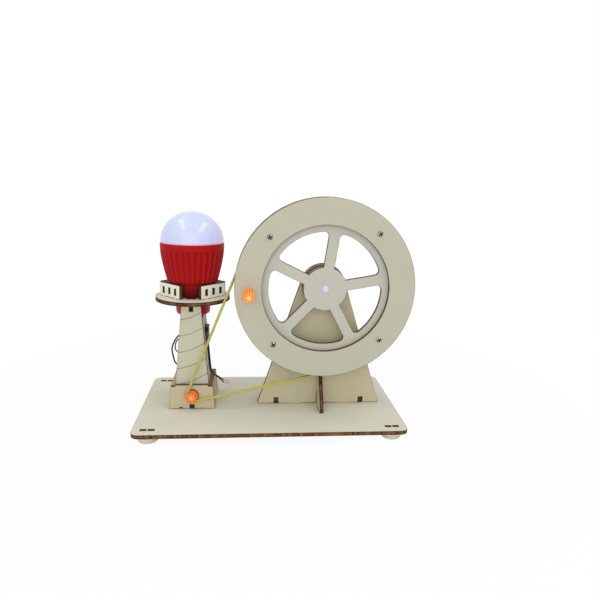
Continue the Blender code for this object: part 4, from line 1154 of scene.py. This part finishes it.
def dome_shade(place, colour):
    """Painted light: the shell is paler towards its top, where the light from above falls, and
    a pink band at its foot is painted for the red body shining through.
    """
    height = place.part(2)
    lit_top = height.fade(dome_foot + dome_rise * 0.15, dome_foot + dome_rise)
    red_shine_through = height.fade(dome_foot + shine_through_height * 0.4, dome_foot + shine_through_height, 1, 0)
    shell_tone = lit_top.mixed(colour, paint(188, 196, 218))
    return {"Base Color": red_shine_through.mixed(shell_tone, paint(214, 132, 148))}


# The dome's emission is a painted glow, not a lamp, which evens out the shell's brightness.
milky = moulded_material(
    "milky_dome_plastic", (184, 188, 216), (187, 192, 219), 0.3, 0.02, 0.002, relief=0.15,
    depth=0.00001, marks=dome_shade, Coat_Weight=0.6, Coat_Roughness=0.05,
    Specular_IOR_Level=0.2, Emission_Color=paint(178, 188, 236), Emission_Strength=0.19)
dome = lathe(
    "bulb_dome_shell", dome_line(dome_wall, 20)[::-1] + dome_line(0, 32), 96,
    (tower_x, tower_y, 0), "Z", milky)
fit(dome, "frame", "milky_dome_plastic", "bulb_dome")
board_mask = moulded_material(
    "white_board_mask", (228, 228, 224), (238, 238, 236), 0.45, 0.008)
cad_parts["led_board"].material_slots[0].material = board_mask


# Motor. A rolled steel can with flat sides and a white plastic end cap, standing on its rail
# inside the tower and held between the front and the rear plate.
can_steel = moulded_material(
    "rolled_can_steel", (188, 188, 190), (160, 161, 165), 0.34, 0.004, 0.0003, relief=0.3,
    drawn=(1, 0.1, 1), Metallic=1.0)
end_plastic = moulded_material("white_end_plastic", (222, 220, 212), (206, 203, 192), 0.45)
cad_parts["motor_can"].material_slots[0].material = can_steel
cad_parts["motor_end_cap"].material_slots[0].material = end_plastic


# Pulley. Orange plastic with a groove for the round belt, pressed on the motor's steel
# shaft, which comes through its face.
low, high = corners_of("motor_pulley")
pulley_middle = middle_of("motor_pulley")
pulley_radius = (high.x - low.x) / 2
pulley_width = high.y - low.y
pulley_bore = 0.0013
groove_radius = 0.0031
groove_half_width = 0.0009
flange_edge = 0.0008
front_flange = pulley_radius - 0.0006
face_dish = 0.0005
hub_edge = pulley_bore + 0.0011
pulley_round = 0.00025


def shaft_shade(place, colour):
    """The pulley is paler where its hub stands round the shaft."""
    x, z = place.part(0) - pulley_middle.x, place.part(2) - pulley_middle.z
    from_shaft = reckon("SQRT", x * x + z * z)
    round_shaft = from_shaft.fade(pulley_bore + 0.0004, pulley_bore + 0.0018, 1, 0)
    return {"Base Color": round_shaft.mixed(colour, paint(246, 158, 104))}


# The pulley's emission is a painted glow, not a lamp.
pulley_plastic = moulded_material(
    "orange_pulley_plastic", (232, 104, 28), (232, 116, 40), 0.36, 0.005, 0.0006, relief=0.3,
    marks=shaft_shade, Specular_IOR_Level=0.25, Emission_Color=paint(250, 116, 16),
    Emission_Strength=0.12)
pulley_outline = [
    (pulley_bore, 0.0002), (pulley_bore + 0.0004, 0), (hub_edge, 0),
    (hub_edge + 0.0002, face_dish), (front_flange - 0.0012, face_dish),
    (front_flange - 0.0010, 0), (front_flange, 0), (front_flange, flange_edge),
    (groove_radius, pulley_width / 2 - groove_half_width),
    (groove_radius, pulley_width / 2 + groove_half_width),
    (pulley_radius, pulley_width - flange_edge), (pulley_radius, pulley_width),
    (pulley_bore, pulley_width),
]
pulley = lathe(
    "motor_pulley_grooved", soften(pulley_outline, pulley_round), 64,
    (pulley_middle.x, low.y, pulley_middle.z), "Y", pulley_plastic, closed=True)
fit(pulley, "pulley", "orange_plastic", "motor_pulley")
low, high = corners_of("motor_shaft")
shaft_radius = (high.x - low.x) / 2
shaft_length = high.y - low.y
shaft_bevel = 0.0002
shaft_round = 0.0001
shaft_steel = moulded_material(
    "ground_shaft_steel", (236, 208, 202), (218, 190, 184), 0.4, 0.003, 0.0003, Metallic=0.3)
shaft_outline = [
    (0, 0), (shaft_radius - shaft_bevel, 0), (shaft_radius, shaft_bevel),
    (shaft_radius, shaft_length), (0, shaft_length),
]
shaft = lathe(
    "motor_shaft_pin", soften(shaft_outline, shaft_round), 32,
    (pulley_middle.x, low.y, pulley_middle.z), "Y", shaft_steel)
fit(shaft, "pulley", "bright_steel", "motor_shaft")


# Drive belt. A round yellow rubber belt that lies on the spoked disc's edge between the two
# rings and runs straight to the pulley's groove and back.
belt_radius = 0.00098
belt_wheel_radius = 0.06585
belt_pulley_radius = 0.0042
belt_rubber = moulded_material(
    "yellow_belt_rubber", (184, 175, 72), (170, 166, 84), 0.6, 0.006, 0.0005,
    Subsurface_Weight=0.15, Subsurface_Radius=(0.001, 0.001, 0.0005), Subsurface_Scale=1.0)
belt_y = middle_of("wheel_spoked_disc").y
span = Vector((pulley_middle.x - wheel_axis.x, pulley_middle.z - wheel_axis.z))
heading = math.atan2(span.y, span.x)
wrap = math.acos((belt_wheel_radius - belt_pulley_radius) / span.length)
belt_line = []
for centre, radius, start, end, steps in (
    (wheel_axis, belt_wheel_radius, heading + wrap, heading + 2 * math.pi - wrap, 160),
    (pulley_middle, belt_pulley_radius, heading - wrap, heading + wrap, 32),
):
    for i in range(steps + 1):
        angle = start + (end - start) * i / steps
        belt_line.append((
            centre.x + radius * math.cos(angle), belt_y, centre.z + radius * math.sin(angle)))
belt = wire("drive_belt_loop", [belt_line], belt_radius, belt_rubber, closed=True, sides=6)
fit(belt, "frame", "yellow_belt_rubber", "drive_belt")


# Socket and plug. A folded steel shell with two spring windows sits in the side of the
# tower, a navy plastic plug over it and a black moulded tail below.
shell_edge = 0.00035
plug_edge = 0.0006
tail_edge = 0.0005
window_side = 0.0030
spring_window = (0.0012, 0.0024, 0.0022)
spring_rise = 0.0056
catch_window = (0.0006, 0.0016, 0.0009)
catch_rise = 0.0022
seam_depth = 0.0002
seam_width = 0.00015
grip_side = 0.0026
grip_depth = 0.0005
grip_width = 0.0008


def boxed(name, node, material, slot, bevel, pockets=(), segments=4):
    """A rounded box as large as its node. A pocket is sunk in its right face, given by its
    size and its way from the middle of that face, and by the rounding of its edges."""
    low, high = corners_of(node)
    face = Vector((high.x, (low.y + high.y) / 2, (low.z + high.z) / 2))
    piece = block(name, high - low, (low + high) / 2, bevel, segments)
    piece.data.materials.append(material)
    carve(piece, [
        block("pocket", size, face + Vector((0, y, z)), rounding)
        for size, y, z, rounding in pockets])
    fit(piece, "frame", slot, node)


low, high = corners_of("usb_socket")
half_height = (high.z - low.z) / 2
pockets = []
for y in (-window_side, window_side):
    pockets.append((spring_window, y, spring_rise - half_height, 0.0002))
    pockets.append((catch_window, y, catch_rise - half_height, 0.0001))
pockets.append(((seam_depth, seam_width, half_height * 2), 0, 0, 0))
socket_steel = moulded_material(
    "folded_socket_steel", (92, 86, 74), (58, 53, 44), 0.45, 0.0012, 0.0003, Metallic=0.7)
boxed("usb_socket_shell", "usb_socket", socket_steel, "bright_steel", shell_edge, pockets, 3)
navy_plastic = moulded_material(
    "navy_plug_plastic", (24, 20, 66), (32, 28, 78), 0.45, 0.004, Specular_IOR_Level=0.2)
low, high = corners_of("usb_plug")
grip = (grip_depth, grip_width, (high.z - low.z) * 0.6)
grips = [(grip, y, 0, 0.00015) for y in (-grip_side, 0, grip_side)]
boxed("usb_plug_moulded", "usb_plug", navy_plastic, "navy_plug_plastic", plug_edge, grips)
tail_plastic = moulded_material("black_tail_plastic", (26, 25, 27), (44, 42, 44), 0.5, 0.004)
boxed("socket_tail_moulded", "socket_tail", tail_plastic, "black_insulation", tail_edge)

# Two short black sleeves over the tops of the spare lead's cores, where they leave the tail.
sleeve_radius = 0.00075
sleeve_end_radius = 0.0006
sleeve_lean = Vector((0.0003, 0, 0))
sleeve_rise = Vector((0, 0, 0.0006))
sleeve_lines = []
for route in (black_core_route, red_core_route):
    covered = [Vector(route[0]) + sleeve_rise] + [Vector(p) for p in route[:5]]
    sleeve_lines.append(smooth_line([p + sleeve_lean for p in covered]))
sleeves = wire("lead_sleeves", sleeve_lines, sleeve_radius, black_insulation)
for spline in sleeves.data.splines:
    last = len(spline.points) - 1
    for i, point in enumerate(spline.points):
        point.radius = 1 + (sleeve_end_radius / sleeve_radius - 1) * i / last
fit(sleeves, "frame", "black_insulation")


# Fixed wiring. A black cable runs from the bulb's cap to the plug, and thin black and red
# wires loop out of the tower's left side on their way from the socket to the motor.
cable_route = [
    (-0.06475, 0.0075, 0.08), (-0.06475, 0.0075, 0.07793), (-0.06395, 0.0075, 0.07392),
    (-0.06155, 0.0075, 0.06846), (-0.05905, 0.0075, 0.06785), (-0.05755, 0.0075, 0.06785),
]
black_wire_route = [
    (-0.05755, 0.005, 0.062), (-0.06025, 0.005, 0.0623), (-0.06475, 0.005, 0.0628),
    (-0.07075, 0.005, 0.0629), (-0.07375, 0.005, 0.0629), (-0.07605, 0.005, 0.06189),
    (-0.07835, 0.0049, 0.05913), (-0.08055, 0.0047, 0.05485), (-0.08145, 0.0046, 0.05133),
    (-0.08115, 0.0047, 0.04731), (-0.08035, 0.0048, 0.04353), (-0.07975, 0.0049, 0.04077),
    (-0.07835, 0.005, 0.03863), (-0.07595, 0.005, 0.03775), (-0.07275, 0.005, 0.03775),
    (-0.07055, 0.0063, 0.03677), (-0.06915, 0.011, 0.03404), (-0.06875, 0.0156, 0.03131),
    (-0.06875, 0.0166, 0.02946), (-0.06875, 0.0166, 0.028),
]
red_wire_route = [
    (-0.05755, 0.0087, 0.0597), (-0.06025, 0.0083, 0.0598), (-0.06475, 0.0072, 0.0598),
    (-0.07075, 0.0065, 0.0597), (-0.07335, 0.0065, 0.0597), (-0.07555, 0.0065, 0.0591),
    (-0.07755, 0.0065, 0.05742), (-0.07895, 0.0064, 0.05454), (-0.07925, 0.0064, 0.05155),
    (-0.07865, 0.0064, 0.04927), (-0.07695, 0.0065, 0.04795), (-0.07475, 0.0065, 0.04771),
    (-0.07175, 0.0065, 0.04771), (-0.06825, 0.0077, 0.04475), (-0.06375, 0.0115, 0.03746),
    (-0.06115, 0.0154, 0.03115), (-0.06075, 0.0166, 0.02938), (-0.06075, 0.0166, 0.028),
]
for name, node, points, radius, insulation, slot in (
    ("bulb_cable_black", "bulb_cable", cable_route, 0.0011, black_insulation, "black_insulation"),
    ("motor_wire_black_core", "motor_wire_black", black_wire_route, 0.0006, black_insulation,
     "black_insulation"),
    ("motor_wire_red_core", "motor_wire_red", red_wire_route, 0.0005, red_insulation,
     "red_insulation"),
):
    fit(wire(name, [smooth_line(points)], radius, insulation), "frame", slot, node)


# Floor and light.
floor_reach = 3.0
shadow_reach = 0.34
plain_share = 0.92
surround_light = 0.56
lamp_aim = Vector((0, 0, 0.07))


def seen_by(tree):
    """One where the camera, a gloss or a clear piece sees the surface, and zero elsewhere."""
    path = new_node(tree, "ShaderNodeLightPath", output=None)
    seen = reckon("MAXIMUM", path["Is Camera Ray"], path["Is Glossy Ray"])
    return reckon("MAXIMUM", seen, path["Is Transmission Ray"])


white_floor, shader, place = blank_material(
    "plain_white_floor", Roughness=0.9, Base_Color=(0.9, 0.9, 0.9, 1), Specular_IOR_Level=0.0)
tree = white_floor.node_tree
from_kit = place.into("ShaderNodeVectorMath", {0: place}, 1, operation="LENGTH")
plain = seen_by(tree) * from_kit.fade(shadow_reach * 0.55, shadow_reach, plain_share, 1)
plain_white = new_node(tree, "ShaderNodeEmission", {"Strength": 1.0})
mixed = new_node(
    tree, "ShaderNodeMixShader", {0: plain, 1: Shade(shader.outputs[0]), 2: plain_white})
feed(tree.nodes["Material Output"], {"Surface": mixed})
floor_mesh = bpy.data.meshes.new("white_floor")
floor_mesh.from_pydata(
    [(x * floor_reach, y * floor_reach, 0) for x, y in ((-1, -1), (1, -1), (1, 1), (-1, 1))],
    [], [(0, 1, 2, 3)])
floor_mesh.materials.append(white_floor)
put("white_floor", floor_mesh)

surround = bpy.data.worlds.new("white_surround")
surround.use_nodes = True
tree = surround.node_tree
strength = seen_by(tree) * (1 - surround_light) + surround_light
feed(tree.nodes["Background"], {"Color": white, "Strength": strength})
bpy.context.scene.world = surround

for name, spot, along, width, length, power in (
    ("front_softbox", (-0.12, -1.20, 0.48), (0, 0, 1), 1.4, 1.0, 6.5),
    ("strip_left", (-0.50, -0.12, 1.00), (0, 1, 0), 0.18, 1.0, 2.4),
    ("strip_right", (0.53, -0.18, 1.00), (0, 1, 0), 0.18, 0.9, 2.8),
):
    lamp = bpy.data.lights.new(name, "AREA")
    lamp.shape = "RECTANGLE"
    lamp.size = width
    lamp.size_y = length
    lamp.energy = power
    back = (Vector(spot) - lamp_aim).normalized()
    along = Vector(along)
    along = (along - back * along.dot(back)).normalized()
    facing = Matrix((along.cross(back), along, back)).transposed().to_4x4()
    put(name, lamp).matrix_world = Matrix.Translation(spot) @ facing

bpy.context.scene.view_settings.view_transform = "Standard"
